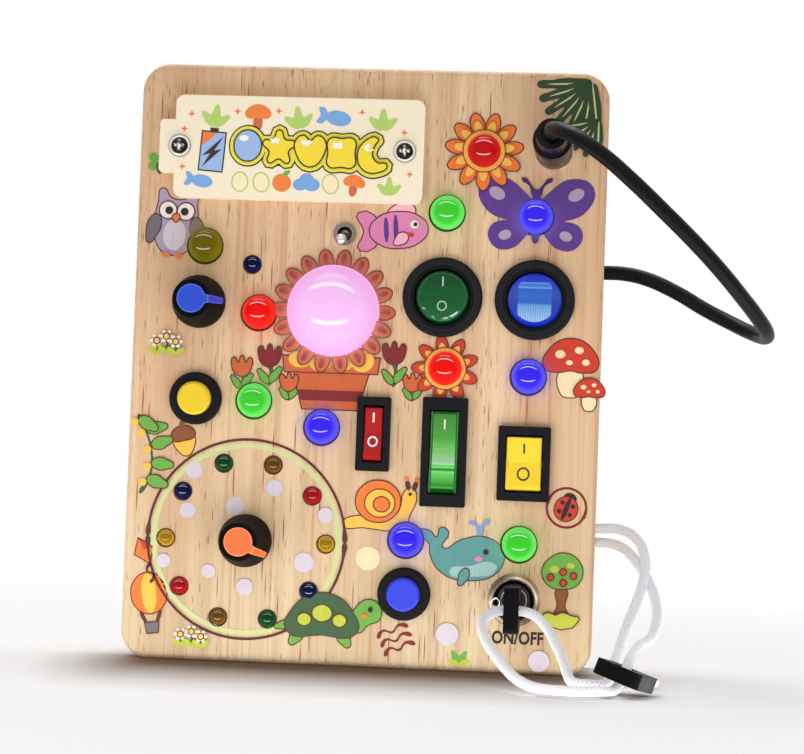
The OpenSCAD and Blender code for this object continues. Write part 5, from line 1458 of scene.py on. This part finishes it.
# %% The floor
FADE_FROM, FADE_TO = 0.16, 0.44
SHADE_REACH = 0.1
SHADE_HALF_WIDE, SHADE_SIDE_STEEP, SHADE_BACK_STEEP = 0.056, 3, 4
TABLE = (0.9, 0.9, 0.9, 1)
bpy.ops.mesh.primitive_plane_add(size=6, location=(0, 0, 0))
floor = bpy.context.object
floor.name = "floor"
floor_white = new_finish("floor_white", TABLE, 0.9)
tree = floor_white.node_tree
x, y, _ = parts_of(object_coords(tree))
front = minus(times(y, -1), -FACE_Y)
gap_y = maths("MAXIMUM", front, times(front, -SHADE_BACK_STEEP))
gap_x = times(maths("MAXIMUM", minus(maths("ABSOLUTE", x), SHADE_HALF_WIDE), 0.0), SHADE_SIDE_STEEP)
shade = ramp(over(hypotenuse(gap_x, gap_y), SHADE_REACH, clamp=True),
             [(0, tone(86, 60, 43)), (0.16, tone(106, 80, 62)), (0.40, tone(178, 168, 162)),
              (0.72, tone(226, 223, 222)), (1, tone(244, 244, 245))])
seen = add_node(tree, "ShaderNodeLightPath").outputs["Is Camera Ray"]
feed(floor_white, {"Base Color": mixed(seen, TABLE, shade)})
print("floor laid")

# %% [markdown]
# The fade mixes the table's shader with plain white light of strength 1, which a camera
# shows as white. It grows with the distance from the board's foot.

# %% The fade to white
away = add_node(tree, "ShaderNodeVectorMath", {0: object_coords(tree)}, operation="LENGTH")
fade = add_node(tree, "ShaderNodeMapRange", {"Value": away.outputs["Value"], "From Min": FADE_FROM,
                                             "From Max": FADE_TO})
white = add_node(tree, "ShaderNodeEmission", {"Strength": 1.0})
both = add_node(tree, "ShaderNodeMixShader", {
    0: times(fade.outputs[0], seen), 1: shader_of(floor_white).outputs[0], 2: white.outputs[0]})
plug(both.outputs[0], tree.nodes["Material Output"].inputs["Surface"])
wear(floor, floor_white)
print("white from", FADE_TO, "m on")

# %% [markdown]
# One big soft lamp stands before the board, a little to the left and above. A second hangs
# high over it and lights its top and the table. A third lies flat on the table at the
# board's foot and stands for the light that a white table throws back up.

# %% Lamps
def soft_lamp(name, place, aim, size, watts):
    bpy.ops.object.light_add(type="AREA", location=place)
    lamp = bpy.context.object
    lamp.name = name
    lamp.data.shape = "RECTANGLE"
    lamp.data.size, lamp.data.size_y = size
    lamp.data.energy = watts
    lamp.rotation_euler = (Vector(aim) - Vector(place)).to_track_quat("-Z", "Y").to_euler()
    lamp.visible_camera = False


soft_lamp("key_lamp", (-0.15, -0.95, 0.5), (0, 0, HALF_H), (1.2, 0.9), 1.25)
soft_lamp("over_lamp", (-0.08, 0.16, 0.9), (0, -0.05, 0), (0.6, 0.4), 4.6)
soft_lamp("floor_card", (0.03, -0.119, 0.0006), (0.03, -0.119, 1), (0.42, 0.2), 0.44)
print("lamps set")

# %% [markdown]
# The surround gives half of its strength as light. The camera, and what is mirrored in
# metal or seen through clear plastic, gets all of it, so that it looks white.

# %% Surround
world = bpy.data.worlds.new("white_surround")
bpy.context.scene.world = world
world.use_nodes = True
surround = world.node_tree.nodes["Background"]
ray = add_node(world.node_tree, "ShaderNodeLightPath").outputs
shown = plus(ray["Is Camera Ray"], plus(ray["Is Glossy Ray"], ray["Is Transmission Ray"]), clamp=True)
plug((1, 1, 1, 1), surround.inputs["Color"])
plug(plus(times(shown, 0.5), 0.5), surround.inputs["Strength"])
bpy.context.scene.view_settings.view_transform = "Standard"
print("surround set")
